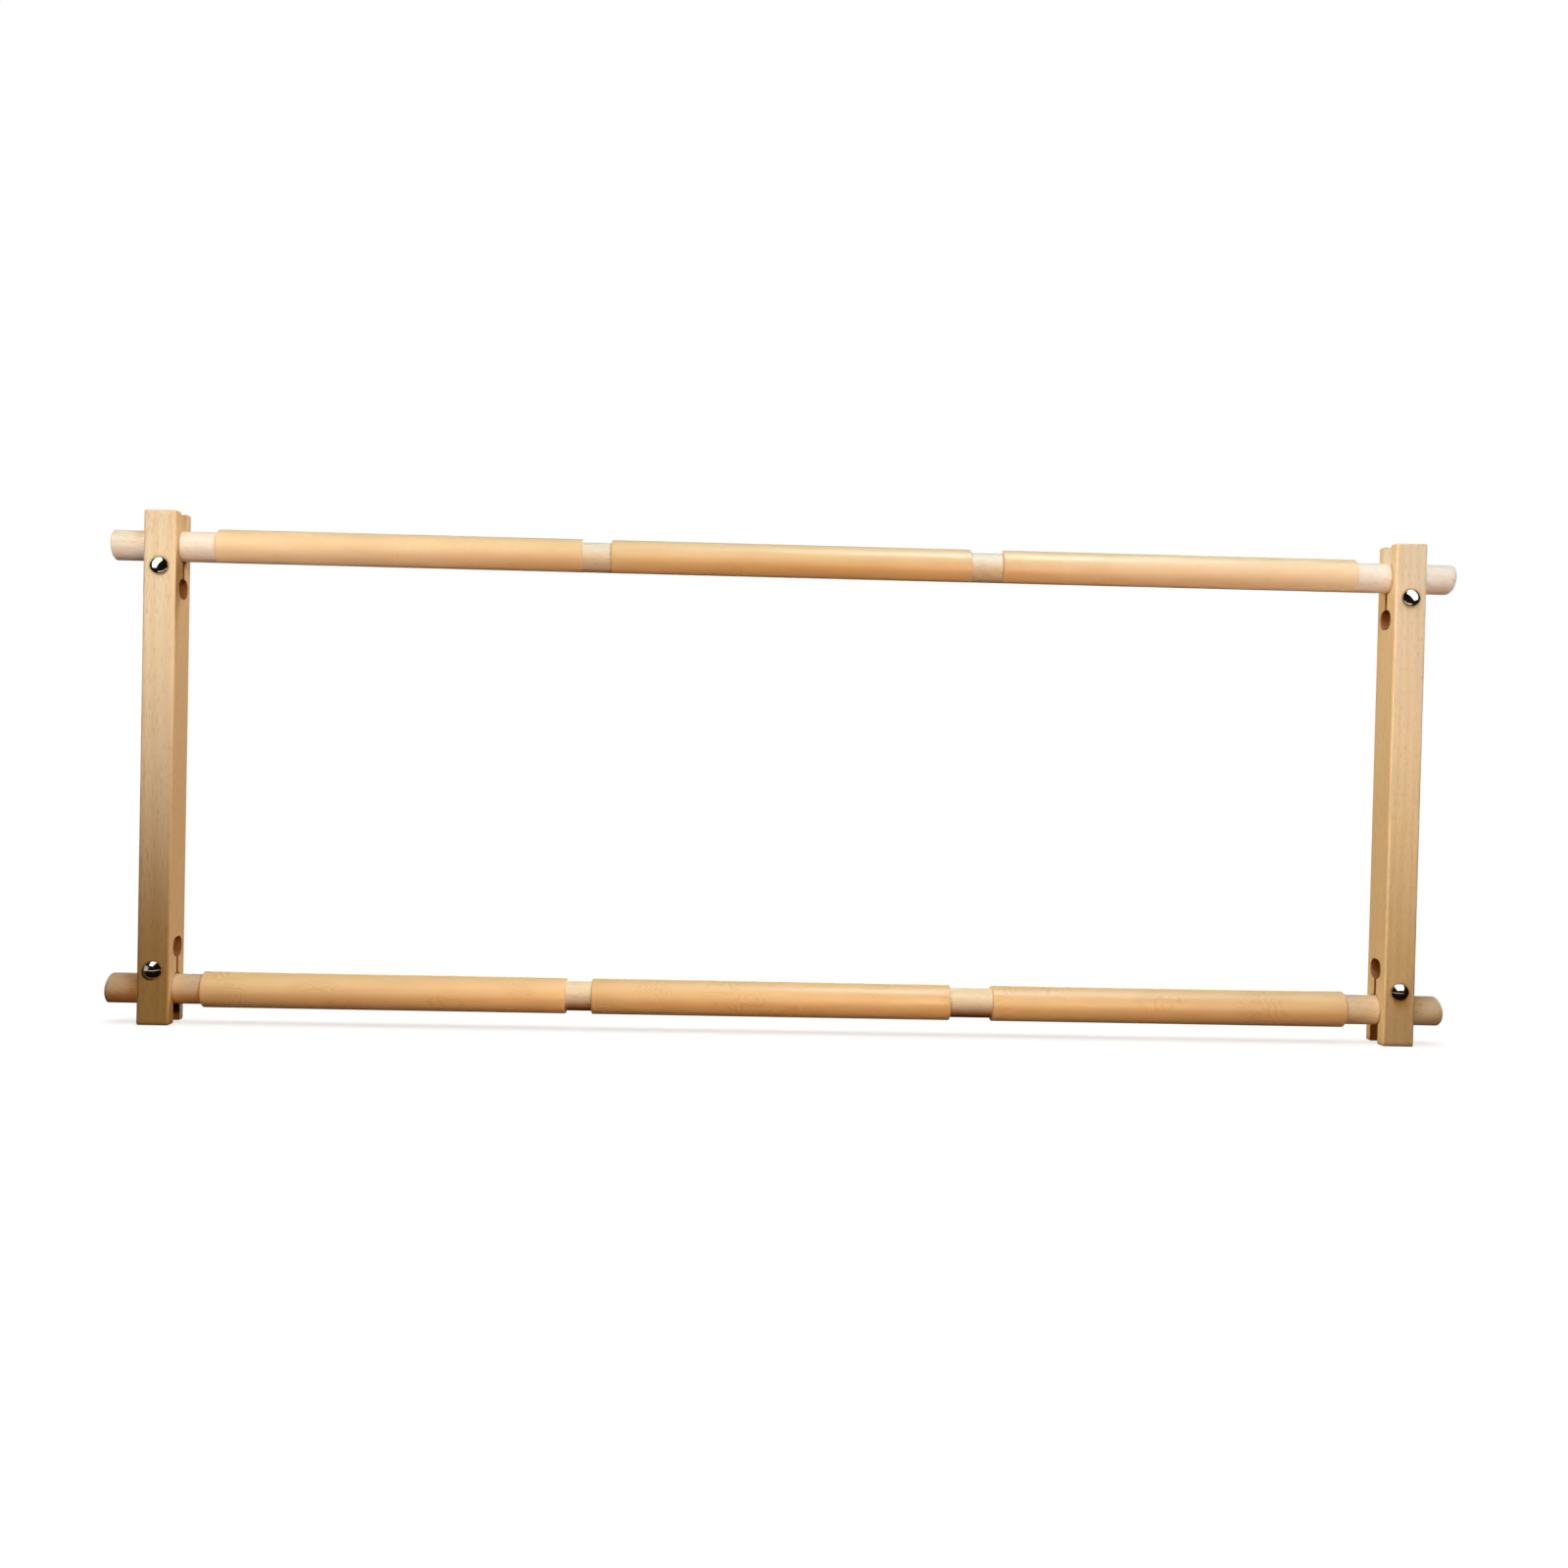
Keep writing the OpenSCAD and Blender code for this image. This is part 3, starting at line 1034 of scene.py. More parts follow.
@dataclass
class Sleeves:
    """The six split sleeves that clip the fabric onto the dowels."""

    inner: float = 9.05
    wall: float = 1.8
    length: float = 217.0
    wrap: float = 270.0
    outer_chamfer: float = 0.6
    inner_chamfer: float = 0.15
    axis_y: float = DOWEL_Y
    inset: float = DOWEL_INSET
    arc_steps: int = 60
    lip_steps: int = 10
    chamfer_steps: int = 5
    rings: int = 12
    rows: tuple[SleeveRow, ...] = (
        SleeveRow(Level.BOTTOM, (-348.0, -115.5, 127.0), 0.0, 0.4),
        SleeveRow(Level.TOP, (-343.5, -109.0, 127.0), -79.0, 0.08),
    )

    def build(self) -> None:
        """Builds all six sleeves and dresses them."""
        for row in self.rows:
            for number, (word, start) in enumerate(zip(("left", "middle", "right"), row.starts)):
                name = f"{row.level.word}_{word}_clip"
                shift = 1.3 * number + 4.0 * row.level.value
                finish = TanPlastic(f"{name}_tan_plastic", "F9CB98", "E2AB73", shift, row.swirls)
                sleeve = self._sleeve(f"{name}_moulded", start, row)
                settle(sleeve, name, name, "clip_plastic", finish.build())

    def _section(self, outer: float, inner: float) -> np.ndarray:
        """The closed section of a sleeve: two arcs joined by half-round lips.

        An arc's point is its radius times (cosine, sine) of the angle from the opening. A lip's
        is half the wall times (cosine, sine), counted from the middle of the wall.

        Args:
            outer: Radius of the outer arc.
            inner: Radius of the inner arc.

        Returns:
            An n by 2 array in the section's own plane, with the opening at +X.
        """
        half = math.radians(360 - self.wrap) / 2
        ring = unit_circle(np.linspace(half, math.tau - half, self.arc_steps))
        swing = np.linspace(0, math.pi, self.lip_steps + 2)[1:-1]
        far, near = (
            (outer + inner) / 2 * unit_circle(place) + (outer - inner) / 2 * unit_circle(place + turn)
            for place, turn in ((math.tau - half, swing), (half, swing + math.pi))
        )
        return np.concatenate([outer * ring, far, inner * ring[::-1], near])

    def _sleeve(self, name: str, start: float, row: SleeveRow) -> Piece:
        """Carries the section along the sleeve, drawn in at both ends for the chamfers.

        Args:
            name: The object's name.
            start: X of the sleeve's left end.
            row: The row that it belongs to.

        Returns:
            The sleeve.
        """
        away, below = quarter_round(1.0, self.chamfer_steps)
        away = away * self.outer_chamfer
        share = np.concatenate([below, np.zeros(self.rings), below[::-1]])
        body = np.linspace(self.outer_chamfer, self.length - self.outer_chamfer, self.rings + 2)[1:-1]
        along = start + np.concatenate([away, body, self.length - away[::-1]])
        outers = self.inner + self.wall - share * self.outer_chamfer
        inners = self.inner + share * self.inner_chamfer
        sections = np.stack([self._section(*pair) for pair in zip(outers, inners)])
        cosine, sine = unit_circle(math.radians(row.turn))
        across = sections @ np.array([[cosine, sine], [-sine, cosine]])
        across += np.array([self.axis_y, row.level.height(self.inset)])
        level_x = np.broadcast_to(along[:, None, None], (*across.shape[:2], 1))
        return closed_grid(name, np.concatenate([level_x, across], axis=-1))


@dataclass
class Clamps:
    """The bolts, washers and wing nuts that close the four jaws."""

    centre_x: float = BAR_X
    front_y: float = FRONT_Y
    back_y: float = FRONT_Y + BAR_DEPTH
    inset: float = BOLT_INSET
    columns: int = 48
    head_radius: float = 5.75
    head_height: float = 4.0
    head_rim: float = 0.5
    # The rim's bevels, how far its underside is drawn in, and how the dome meets it: over this
    # share of the radius, drawn in by up to this much.
    rim_bevel: float = 0.12
    rim_under: float = 0.15
    dome_edge: float = 0.07
    dome_draw: float = 0.08
    dome_steps: int = 20
    # The dome's first ring, as a share of the way to the rim.
    dome_tip: float = 0.004
    neck: float = 5.0
    neck_corner: float = 3.3
    neck_length: float = 3.0
    shank: float = 2.5
    bolt_length: float = 45.0
    tail_chamfer: float = 0.6
    pitch: float = 0.8
    thread_depth: float = 0.45
    thread_start: float = 24.0
    # How far before its start the plain shank ends.
    thread_gap: float = 0.1
    thread_steps: int = 8
    # The wave of the thread is stretched and lowered by these, and cut flat where it passes 0 and 1.
    thread_stretch: float = 1.35
    thread_low: float = 0.15
    washer_radius: float = 7.5
    washer_bore: float = 2.6
    washer_thickness: float = 1.2
    # The stamping rolls the washer's rim by this much, less at the front and more at the back.
    washer_roll: float = 0.25
    front_roll: float = 0.4
    back_roll: float = 1.4
    roll_steps: int = 4
    washer_columns: int = 72
    bore_chamfer: float = 0.1
    hub_foot: float = 5.5
    hub_top: float = 4.25
    hub_height: float = 8.0
    # Heights on the hub, with how far its rounded rims draw the cone in there.
    hub_rims: tuple[tuple[float, float], ...] = (
        (0.0, 0.35), (0.05, 0.2), (0.2, 0.06), (0.5, 0.0), (2.0, 0.0), (4.0, 0.0), (6.0, 0.0), (7.2, 0.0),
        (7.6, 0.1), (7.9, 0.35), (8.0, 0.6),
    )
    hub_columns: int = 64
    nut_bore: float = 2.6
    wing_reach: float = 13.0
    wing_height: float = 13.0
    wing_thickness: float = 2.2
    ear: float = 4.6
    # Reach and height where a wing's lower and upper lines start and where they touch the ear.
    low_start: tuple[float, float] = (2.75, 1.2)
    low_touch: tuple[float, float] = (10.10, 4.125)
    high_start: tuple[float, float] = (3.2, 7.4)
    high_touch: tuple[float, float] = (4.84, 11.32)
    # Where a wing starts inside the hub, and how much thicker it is there and over what length.
    wing_root: float = 3.2
    root_swell: float = 1.1
    swell_length: float = 2.0
    # Power of the superellipse of a wing's section, and the reach over which its tip closes.
    wing_square: float = 4.5
    wing_tip: float = 1.0
    # Sections of each half of a wing, with the outer half this long and denser towards the tip.
    wing_steps: int = 24
    dense_reach: float = 4.0
    wing_columns: int = 40
    # The last section stands this share of that reach, squared, before the tip, and no section is
    # closed further than to the root of this share of the thickness.
    last_section: float = 0.012
    least_square: float = 0.02
    # The grid that melts hub and wings together, and the smoothing after it.
    remesh_size: float = 0.2
    relax_share: float = 0.5
    relax_rounds: int = 6

    def build(self) -> None:
        """Builds the four sets and dresses them."""
        nickel, zinc, cast = (finish.build() for finish in (
            PlatedSteel("bolt_mirror_nickel", "D9D4CB", "B9B2A6", 0.13, 0.04, grain=0.9, depth=6.0),
            PlatedSteel("washer_bright_zinc", "CDD0D3", "A9ADB3", 0.3, 0.1, grain=0.5, depth=12.0),
            PlatedSteel("wing_nut_cast_zinc_plate", "C6C8CA", "9A9DA2", 0.36, 0.1, grain=0.7, depth=30.0),
        ))
        pattern = self._nut_mesh()
        foot = self.back_y + self.washer_thickness
        for side in Side:
            for level in Level:
                corner = f"{side.word}_{level.word}"
                x, z = side.value * self.centre_x, level.height(self.inset)
                bolt = self._bolt(f"{corner}_bolt_plated", np.array([x, self.front_y, z]))
                settle(bolt, f"{corner}_bolt", f"{side.word}_arm", "bolt_nickel", nickel)
                washer = self._washer(f"{corner}_washer_stamped", np.array([x, self.back_y, z]))
                settle(washer, f"{corner}_washer", f"{corner}_washer", "washer_zinc", zinc)
                nut = self._placed_copy(pattern, f"{corner}_wing_nut_cast", np.array([x, foot, z]))
                settle(nut, f"{corner}_wing_nut", f"{corner}_wing_nut", "wing_nut_zinc", cast)
        bpy.data.meshes.remove(pattern)

    def _bolt(self, name: str, place: np.ndarray) -> Piece:
        """A carriage bolt: a dome, a rim, a square neck, a plain shank and a rolled thread.

        The dome is a cap of a sphere through the rim, and the neck's radius is a square's.

        Args:
            name: The object's name.
            place: Centre of the underside of the head.

        Returns:
            The bolt.
        """
        angle = full_turn(self.columns)
        head, bevel = self.head_radius, self.rim_bevel
        cap = self.head_height - self.head_rim
        sphere = (head ** 2 + cap ** 2) / (2 * cap)
        turn = np.linspace(self.dome_tip, 1, self.dome_steps) * math.asin(head / sphere)
        dome_r = sphere * np.sin(turn)
        soft = np.clip((dome_r / head - 1 + self.dome_edge) / self.dome_edge, 0, 1)
        dome_y = sphere * (1 - np.cos(turn)) - self.head_height
        head_y = np.append(dome_y, [bevel - self.head_rim, -bevel, 0.0])
        head_r = np.append(dome_r - self.dome_draw * soft ** 2, [head, head, head - self.rim_under])
        shank_y = [0.0, self.neck_length, self.neck_length, self.thread_start - self.thread_gap]
        step = self.pitch / self.thread_steps
        thread_y = np.arange(self.thread_start, self.bolt_length + 0.001, step)
        radii = np.repeat(np.append(head_r, np.full(4, self.shank))[:, None], self.columns, axis=1)
        radii[len(head_r):len(head_r) + 2] = square_radii(angle, self.neck / 2, self.neck_corner)
        radii = np.concatenate([radii, self._thread(thread_y, angle)])
        along = np.concatenate([head_y, shank_y, thread_y])
        return closed_grid(name, turned_points(along, radii, angle, 1) + place)

    def _thread(self, along: np.ndarray, angle: np.ndarray) -> np.ndarray:
        """Radius of the thread at each distance along the bolt and each angle.

        It falls by the depth times a triangle wave of distance / pitch - angle / full turn, with
        its top and bottom cut flat, which makes a right-handed screw.

        Args:
            along: Distance from the underside of the head.
            angle: Angles round the bolt.

        Returns:
            An array of rows and columns.
        """
        phase = along[:, None] / self.pitch - angle[None] / math.tau
        wave = np.abs(2 * (phase - np.floor(phase)) - 1)
        groove = np.clip(self.thread_stretch * wave - self.thread_low, 0, 1)
        run_in = np.clip((along - self.thread_start) / self.pitch, 0, 1)[:, None]
        chamfer = self.shank - self.tail_chamfer + np.clip(self.bolt_length - along, 0, self.tail_chamfer)
        return np.minimum(self.shank - self.thread_depth * groove * run_in, chamfer[:, None])

    def _washer(self, name: str, place: np.ndarray) -> Piece:
        """A stamped washer: a rectangle with a rolled rim, carried round the bolt's axis.

        Args:
            name: The object's name.
            place: Centre of its front face.

        Returns:
            The washer.
        """
        angle = full_turn(self.washer_columns)
        away, below = quarter_round(self.washer_roll, self.roll_steps)
        thick, bevel = self.washer_thickness, self.bore_chamfer
        rim = self.washer_radius - below
        bore, face = self.washer_bore, self.washer_bore + bevel
        front, back = away * self.front_roll, thick - away[::-1] * self.back_roll
        along = np.concatenate([[0.0], front, back, [thick, thick - bevel, bevel, 0.0]])
        radii = np.concatenate([[face], rim, rim[::-1], [face, bore, bore, face]])
        faces = grid_faces(len(along), len(angle))
        points = turned_points(along, radii, angle, 1) + place
        made = fill_mesh(name, points, faces, np.zeros(len(faces), bool))
        point_outwards(made)
        return made

    def _wing(self) -> np.ndarray:
        """One wing as sections along its reach, from inside the hub to the tip.

        Each section is a superellipse: its height runs from the lower outline to the upper one,
        and its thickness swells towards the hub as a fillet and closes as a quarter ellipse at
        the tip. The outlines are straight lines that touch the round ear.

        Returns:
            Rows of rings, as reach, height above the nut's foot, and thickness.
        """
        inner = np.linspace(self.wing_root, self.wing_reach - self.dense_reach, self.wing_steps)[:-1]
        dense = np.linspace(1, self.last_section, self.wing_steps) ** 2
        outer = self.wing_reach - self.dense_reach * dense
        reach = np.concatenate([inner, outer])
        bow = np.sqrt(np.clip(self.ear ** 2 - (reach - self.wing_reach + self.ear) ** 2, 0, None))
        outlines = []
        lines = ((self.low_start, self.low_touch, -1), (self.high_start, self.high_touch, 1))
        for start, touch, sign in lines:
            line = start[1] + (reach - start[0]) * (touch[1] - start[1]) / (touch[0] - start[0])
            outlines.append(np.where(reach < touch[0], line, self.wing_height - self.ear + sign * bow))
        lower, upper = outlines
        tip = np.clip((reach - self.wing_reach + self.wing_tip) / self.wing_tip, 0, 1)
        swell = 1 + self.root_swell * np.exp(-((reach - self.wing_root) / self.swell_length) ** 2)
        half = self.wing_thickness / 2 * swell * np.sqrt(np.clip(1 - tip ** 2, self.least_square, 1))
        circle = unit_circle(full_turn(self.wing_columns))
        out, up = (np.sign(circle) * np.abs(circle) ** (2 / self.wing_square)).T
        heights = (lower + upper)[:, None] / 2 + (upper - lower)[:, None] / 2 * up
        reaches = np.broadcast_to(reach[:, None], heights.shape)
        return np.stack([reaches, heights, half[:, None] * out], axis=-1)

    def _nut_mesh(self) -> bpy.types.Mesh:
        """A cast wing nut with its foot on y = 0, its hub and wings melted into one skin.

        The hub is a cone with rounded rims, carried round the Y axis. Remeshing joins it to the
        wings, and smoothing leaves the soft fillets of a casting.

        Returns:
            The nut's mesh, in metres.
        """
        angle = full_turn(self.hub_columns)
        along, drawn_in = np.array(self.hub_rims).T
        radii = self.hub_foot + (self.hub_top - self.hub_foot) * along / self.hub_height - drawn_in
        parts = [closed_grid("hub", turned_points(along, radii, angle, 1))]
        reaches, heights, widths = np.moveaxis(self._wing(), -1, 0)
        for sign in (-1, 1):
            parts.append(closed_grid("wing", np.stack([widths, heights, sign * reaches], axis=-1)))
        joined = self._melted(parts)
        ends = np.array([-1.0, self.wing_height + 1.0])
        bore = turned_points(ends, np.full(2, self.nut_bore), angle, 1)
        cut_away(joined, closed_grid("bore", bore))
        mesh = joined.data
        bpy.data.objects.remove(joined)
        return mesh

    def _melted(self, parts: list[Piece]) -> Piece:
        """Joins overlapping closed shapes into one smooth skin.

        Args:
            parts: The shapes, which are deleted.

        Returns:
            The joined shape.
        """
        shell = bmesh.new()
        for part in parts:
            shell.from_mesh(part.data)
            bpy.data.objects.remove(part)
        bmesh.ops.scale(shell, vec=(1 / MM, 1 / MM, 1 / MM), verts=shell.verts)
        mesh = bpy.data.meshes.new("joined")
        shell.to_mesh(mesh)
        shell.free()
        joined = add_object("joined", mesh)
        remesh = joined.modifiers.new("melt", "REMESH")
        remesh.mode = "VOXEL"
        remesh.voxel_size = self.remesh_size
        remesh.use_smooth_shade = True
        relax = joined.modifiers.new("relax", "SMOOTH")
        relax.factor = self.relax_share
        relax.iterations = self.relax_rounds
        apply_modifiers(joined)
        vertices = joined.data.vertices
        vertices.foreach_set("co", (read_all(vertices, "co", 3) * MM).ravel())
        joined.data.update()
        return joined

    def _placed_copy(self, pattern: bpy.types.Mesh, name: str, place: np.ndarray) -> Piece:
        """Copies a mesh to a place in millimetres, held within the nut's own box.

        Args:
            pattern: The mesh, in metres, with its foot at the origin.
            name: The new object's name.
            place: Where the foot goes.

        Returns:
            The new object.
        """
        mesh = pattern.copy()
        points = read_all(mesh.vertices, "co", 3)
        lowest = np.array([-math.inf, 0, -self.wing_reach])
        highest = np.array([math.inf, self.wing_height, self.wing_reach])
        points = np.clip(points, lowest * MM, highest * MM) + place * MM
        mesh.vertices.foreach_set("co", points.ravel())
        mesh.update()
        return add_object(name, mesh)


# Parts of the names of the pieces that a light shines on.
LEFT_BAR = ("left_side_bar",)
RIGHT_BAR = ("right_side_bar",)
BARS = LEFT_BAR + RIGHT_BAR
LOW_DOWEL = ("bottom_roller",)
LEFT_CLIP = ("bottom_left_clip",)
RIGHT_CLIPS = ("bottom_middle_clip", "bottom_right_clip")
UPPER = ("top_roller", "clip")
ROUND = UPPER + LOW_DOWEL
BACK = ("washer", "wing_nut")
# Places in metres that several lights point at: in the right bar, between bars, and low down.
GOAL = (0.3, 0.0, 0.15)
MIDDLE = (0.09, 0.0, 0.15)
LOW = (0.0, 0.0, 0.03)


def shine_on(lamp: Piece, lit: tuple[str, ...], shaded_by: tuple[str, ...] = ()) -> None:
    """Limits a lamp to some of the meshes.

    Args:
        lamp: The lamp.
        lit: Parts of the names of the meshes that it lights.
        shaded_by: Parts of the names of the only meshes that shade it, where not all do.
    """
    for use, words in (("receiver_collection", lit), ("blocker_collection", shaded_by)):
        if not words:
            continue
        found = bpy.data.collections.new(f"{lamp.name}_{use}")
        for piece in bpy.data.objects:
            if piece.type == "MESH" and any(word in piece.name for word in words):
                found.objects.link(piece)
        setattr(lamp.light_linking, use, found)


@dataclass(frozen=True)
class SoftBox:
    """A rectangular soft light that the camera doesn't see.

    lit holds parts of the names of the pieces that it lights. place and target are in metres,
    power is in watts, size is its width and height in metres, spread is the angle of its beam,
    and roll turns it round its own beam. shaded_by holds parts of the names of the only pieces
    that shade it, where not all of them do.
    """

    name: str
    lit: tuple[str, ...]
    place: Point
    target: Point
    power: float
    colour: str
    size: tuple[float, float] = (0.35, 0.35)
    spread: float = 180.0
    roll: float = 0.0
    shaded_by: tuple[str, ...] = ()

    def build(self) -> None:
        """Adds the light to the scene."""
        lamp = bpy.data.lights.new(self.name, "AREA")
        lamp.shape = "RECTANGLE"
        lamp.size, lamp.size_y = self.size
        lamp.energy = self.power
        lamp.color = linear(self.colour)[:3]
        lamp.spread = math.radians(self.spread)
        made = add_object(self.name, lamp)
        facing = (Vector(self.target) - Vector(self.place)).to_track_quat("-Z", "Y")
        made.location = self.place
        made.rotation_euler = (facing @ Quaternion((0, 0, 1), math.radians(self.roll))).to_euler()
        made.visible_camera = False
        shine_on(made, self.lit, self.shaded_by)


def beam(
    name: str, lit: tuple[str, ...], x: float, heights: tuple[float, float], power: float, colour: str,
    width: float = 0.3, spread: float = 22.0
) -> SoftBox:
    """A narrow light from the front, for one stretch of the pieces.

    Args:
        name: The light's name.
        lit: Parts of the names of the pieces that it lights.
        x: X of the light and of its target.
        heights: Z of the light and of its target.
        power: Power in watts.
        colour: Its sRGB hex colour.
        width: Width of the light.
        spread: Angle of its beam.

    Returns:
        The light.
    """
    place, target = (x, -1.25, heights[0]), (x, 0.0, heights[1])
    return SoftBox(name, lit, place, target, power, colour, (width, 0.06), spread)


@dataclass
class Studio:
    """The pale floor, the soft lights and the camera. Places are in metres."""

    camera_place: Point = (-0.03601, -1.02364, 0.16812)
    camera_turn: Point = (89.0374, -1.2953, -1.8838)
    lens: float = 38.53
    sensor: float = 36.0
    floor_glow: float = 0.72
    floor_reach: float = 20000.0
    floor_sun: float = 1.1
    floor_sun_width: float = 70.0
    # Places of the bolt heads that the glints are for.
    head_x: float = BAR_X * MM
    head_y: float = -0.024

    def build(self) -> None:
        """Sets up floor, air, lights and camera."""
        bpy.context.scene.view_settings.view_transform = "Standard"
        self._floor()
        self._air()
        for box in self._bar_lights() + self._round_lights() + self._metal_lights() + self._glints():
            box.build()
        self._camera()

    def _bar_lights(self) -> tuple[SoftBox, ...]:
        """The lights of the two side bars. Two of the right bar's pass the dowels and sleeves by.

        Returns:
            The lights.
        """
        return (
            SoftBox("left_bar_front", LEFT_BAR, (0.9, -1.3, 1.0), (0.27, 0.0, 0.15), 20.5, "FFD89E"),
            SoftBox("left_bar_back", LEFT_BAR, (-0.9, 0.4, 0.9), (-0.27, 0.0, 0.15), 19.2, "FFF0D3"),
            SoftBox("left_bar_top", LEFT_BAR, (0.3, 0.4, 0.9), MIDDLE, 7.4, "FFF8F1"),
            beam("left_beam", LEFT_BAR, -0.37, (0.3, 0.28), 0.236, "EFF9FF"),
            SoftBox("right_bar_top", RIGHT_BAR, (0.2, -0.3, 0.7), GOAL, 3.39, "EBF9FF"),
            SoftBox("right_bar_side", RIGHT_BAR, (-0.6, 0.1, 0.3), GOAL, 4.46, "FFFAD9", shaded_by=BARS),
            SoftBox("right_bar_front", RIGHT_BAR, (-0.3, -0.8, 0.6), GOAL, 4.36, "FFBF6F", shaded_by=BARS),
            SoftBox("right_bar_back", RIGHT_BAR, (0.9, 0.6, 0.6), (0.37, 0.0, 0.15), 9.0, "FFF6E8"),
            beam("right_low_beam", RIGHT_BAR, 0.37, (0.2, 0.18), 0.104, "FFEDA5"),
            beam("right_high_beam", RIGHT_BAR, 0.37, (0.3, 0.28), 0.1, "4BA4FF"),
        )

    def _round_lights(self) -> tuple[SoftBox, ...]:
        """The lights of the dowels and sleeves, from the front and the back.

        Returns:
            The lights.
        """
        left, right, dowel = (-0.22, 0.0, 0.02), (0.13, 0.0, 0.02), LOW_DOWEL
        return (
            SoftBox("round_low", UPPER, (0.3, -0.8, 0.1), MIDDLE, 3.86, "FFD19E"),
            SoftBox("round_key", UPPER, (-0.35, -0.6, 0.6), (-0.175, 0.0, 0.2), 2.46, "FFFDDB", (0.8, 0.25)),
            SoftBox("round_high", UPPER, (0.3, -0.3, 1.3), MIDDLE, 11.1, "C0EBFF"),
            beam("round_left", UPPER, -0.37, (0.36, 0.34), 0.158, "DAE7FF"),
            beam("round_right", UPPER, 0.37, (0.36, 0.34), 0.166, "B8DDFF"),
            beam("round_middle", UPPER, 0.0, (0.1, 0.03), 0.07, "FFCE8E", spread=30.0),
            SoftBox("low_left_clip", LEFT_CLIP, (-0.3, -0.9, 0.05), left, 1.5, "FFF8E8", (0.3, 0.2)),
            SoftBox("low_right_clips", RIGHT_CLIPS, (0.2, -0.8, 0.02), right, 0.7, "74EAFF", (0.6, 0.1)),
            SoftBox("low_dowel_near", dowel, (0.0, -0.2, 0.2), LOW, 0.506, "FEFFDF", (0.4, 0.1)),
            SoftBox("low_dowel_top", dowel, (0.0, -0.3, 0.6), LOW, 2.27, "E2FFF9", (0.5, 0.1)),
            SoftBox("low_dowel_warm", dowel, (0.0, -0.3, 0.1), LOW, 0.255, "FF7E26", (0.5, 0.1)),
            beam("low_right_beam", dowel, 0.36, (0.1, 0.03), 0.024, "FFE3B6", 0.1, 12.0),
            beam("low_left_beam", dowel, -0.36, (0.1, 0.03), 0.015, "FFBC71", 0.1, 12.0),
            SoftBox("round_back", ROUND, (0.0, 1.4, 0.3), (0.0, 0.0, 0.15), 16.0, "FFF6E8", (1.6, 0.5)),
        )

    def _metal_lights(self) -> tuple[SoftBox, ...]:
        """The lights of the bolts, washers and wing nuts, and those at the sides.

        Returns:
            The lights.
        """
        sides = tuple(
            SoftBox(
                f"{side.word}_side", ROUND + BACK, (1.3 * side.value, 0.5, 0.35),
                (0.4 * side.value, 0.0, 0.15), 7.0, "FFF6E8", (0.6, 0.6),
            ) for side in Side
        )
        return (
            SoftBox("metal_top", BACK, (0.0, -0.32, 0.56), (0.0, -0.05, 0.25), 4.0, "FFFFFF", (1.3, 0.5)),
            SoftBox(
                "metal_low", ("bolt",), (0.0, -0.12, 0.02), (0.0, -0.12, 0.5), 0.23, "FFF4E4", (0.9, 0.04)
            ),
            SoftBox("metal_back", BACK, (0.0, 1.2, 0.8), (0.0, 0.0, 0.15), 30.0, "FFFAF2", (1.6, 0.9)),
        ) + sides

    def _glints(self) -> tuple[SoftBox, ...]:
        """The lights that the bright bolt heads mirror, in front of them and mostly above.

        Returns:
            The lights.
        """
        glints = (
            (Side.LEFT, Level.TOP, (-0.09, -0.11, 0.1), (0.52, 0.25), 1.2, 75.0),
            (Side.RIGHT, Level.TOP, (0.06, -0.11, 0.1), (0.52, 0.25), 1.2, 116.0),
            (Side.LEFT, Level.BOTTOM, (-0.02, -0.05, 0.19), (0.15, 0.25), 0.3, 0.0),
            (Side.LEFT, Level.BOTTOM, (-0.14, -0.04, 0.02), (0.16, 0.1), 0.03, 0.0),
            (Side.RIGHT, Level.BOTTOM, (0.01, -0.09, 0.18), (0.34, 0.34), 0.9, 0.0),
        )
        boxes = []
        for number, (side, level, away, size, power, roll) in enumerate(glints):
            head = (side.value * self.head_x, self.head_y, level.height(BOLT_INSET) * MM)
            place = tuple(start + step for start, step in zip(head, away))
            bolt = (f"{side.word}_{level.word}_bolt",)
            boxes.append(SoftBox(f"glint_{number}", bolt, place, head, power, "FFFFFF", size, roll=roll))
        return tuple(boxes)

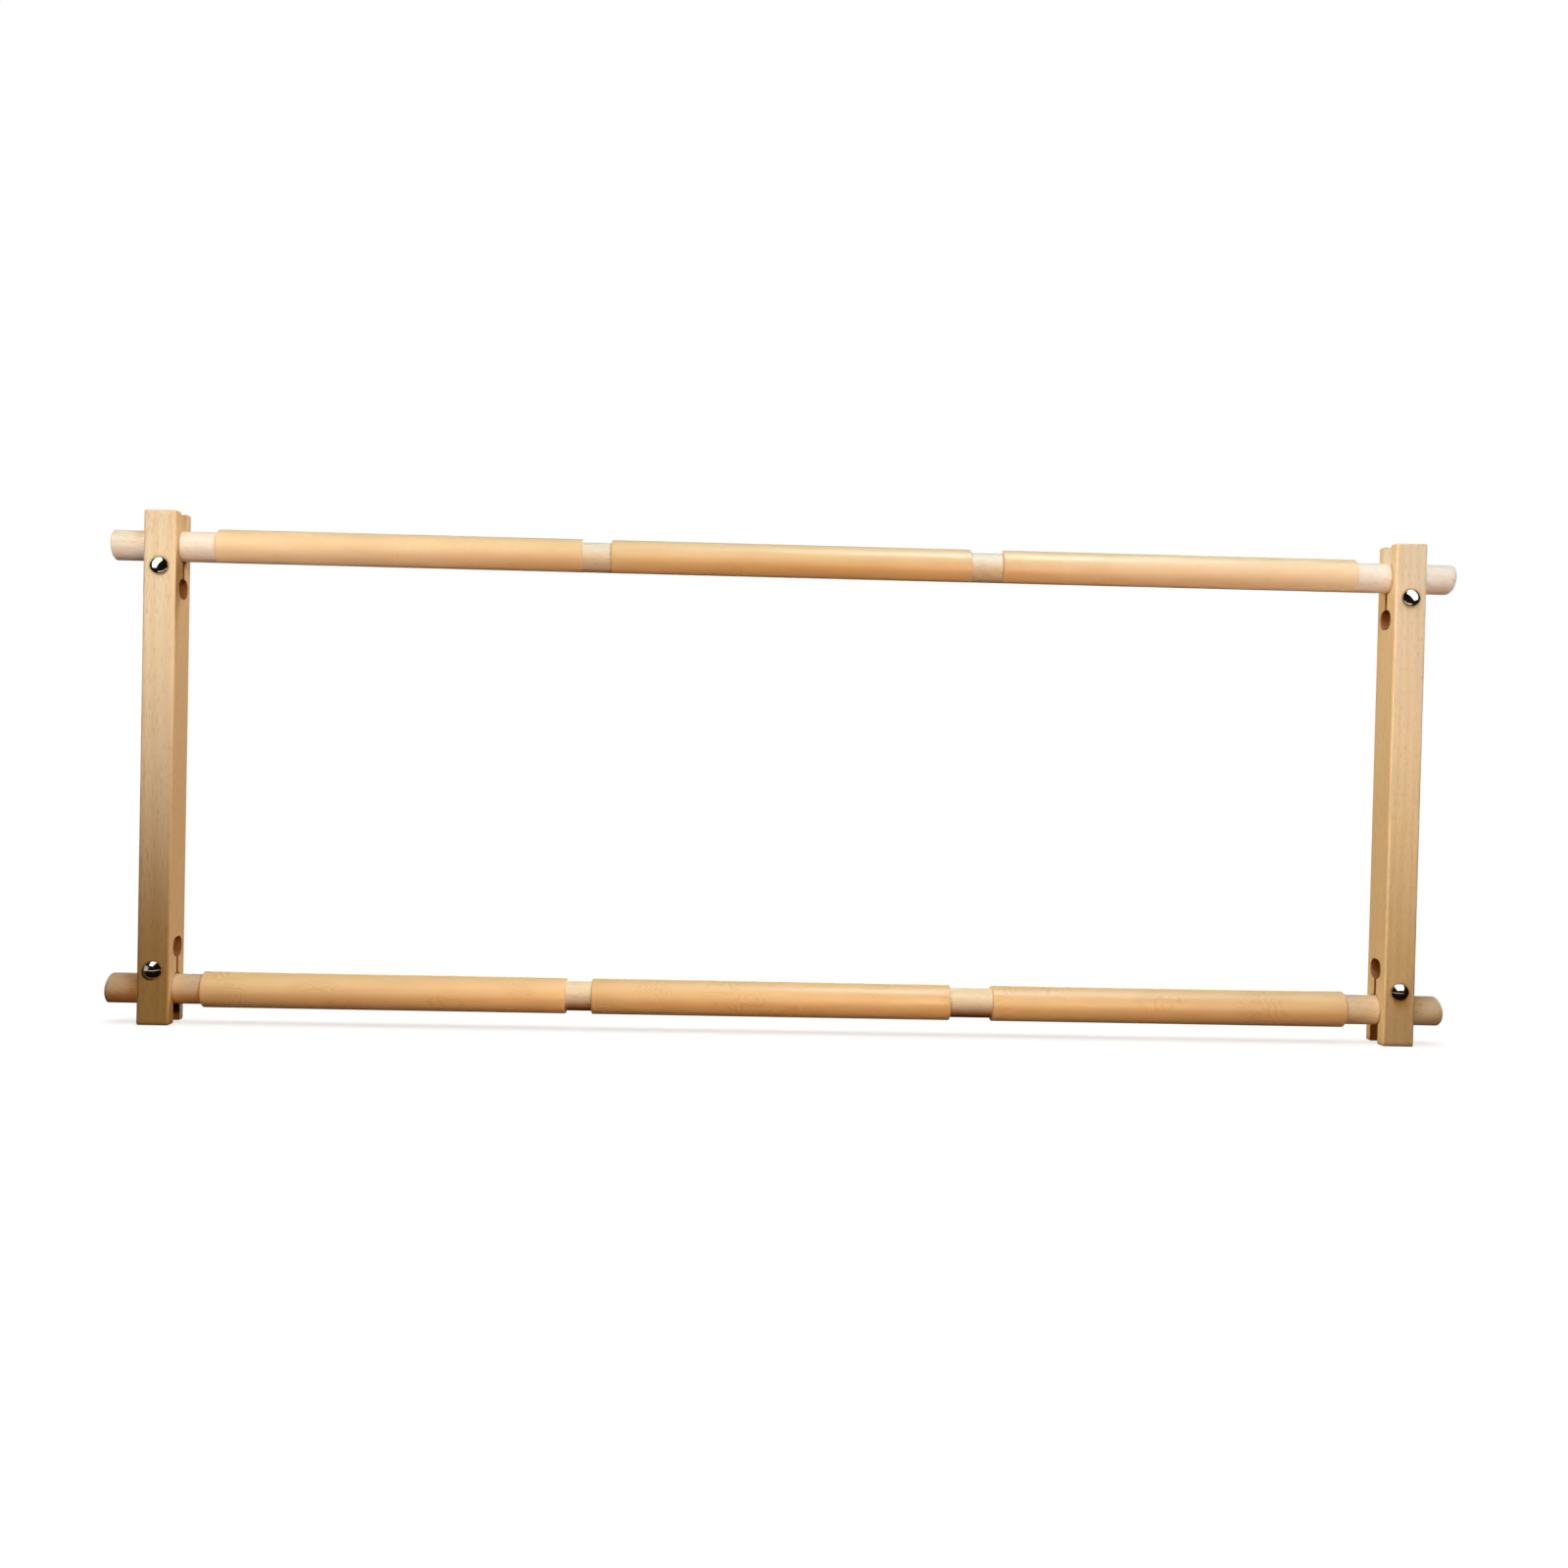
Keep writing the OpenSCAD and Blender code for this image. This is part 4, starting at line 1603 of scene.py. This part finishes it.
    def _floor(self) -> None:
        """Adds a wide pale floor, which the frame itself sees as dim and warm, and its own light.

        The light comes from above on the floor alone, so that the frame's shadow is soft.
        """
        corners = np.array([[-1, -1, 0], [1, -1, 0], [1, 1, 0], [-1, 1, 0]]) * self.floor_reach
        floor = fill_mesh("floor", corners, [[0, 1, 2, 3]], np.array([False]))
        material, shader = new_material("pale_floor")
        tree = material.node_tree
        ray = add_node(tree, "LightPath").outputs["Is Camera Ray"]
        seen = lay_over(tree, linear("2C2015"), linear("F4F4F4"), ray, (0.0, 1.0))
        tree.links.new(seen, shader.inputs["Base Color"])
        shader.inputs["Roughness"].default_value = 0.9
        shader.inputs["Specular IOR Level"].default_value = 0.0
        shader.inputs["Emission Color"].default_value = (1, 1, 1, 1)
        glow = add_node(tree, "Math", {0: ray, 1: self.floor_glow}, operation="MULTIPLY").outputs[0]
        tree.links.new(glow, shader.inputs["Emission Strength"])
        floor.data.materials.append(material)
        lamp = bpy.data.lights.new("floor_light", "SUN")
        lamp.energy = self.floor_sun
        lamp.angle = math.radians(self.floor_sun_width)
        shine_on(add_object("floor_light", lamp), ("floor",))

    def _air(self) -> None:
        """Makes the surroundings white to the camera and dim to everything else."""
        world = bpy.data.worlds.new("studio")
        bpy.context.scene.world = world
        world.use_nodes = True
        tree = world.node_tree
        tree.nodes.clear()
        ray = add_node(tree, "LightPath").outputs["Is Camera Ray"]
        seen = lay_over(tree, linear("14120F"), linear("FFFFFF"), ray, (0.0, 1.0))
        air = add_node(tree, "Background", {"Color": seen, "Strength": 1.0})
        add_node(tree, "OutputWorld", {"Surface": air.outputs[0]})

    def _camera(self) -> None:
        """Adds the camera at the photograph's viewpoint."""
        data = bpy.data.cameras.new("camera")
        data.lens = self.lens
        data.sensor_width = self.sensor
        made = add_object("camera", data)
        made.location = self.camera_place
        made.rotation_euler = [math.radians(angle) for angle in self.camera_turn]
        bpy.context.scene.camera = made


def main() -> None:
    """Builds the frame and its studio."""
    logging.basicConfig(level=logging.INFO, format="%(name)s: %(message)s")
    SideBars().build()
    Dowels().build()
    Sleeves().build()
    Clamps().build()
    Studio().build()


if __name__ == "__main__":
    main()
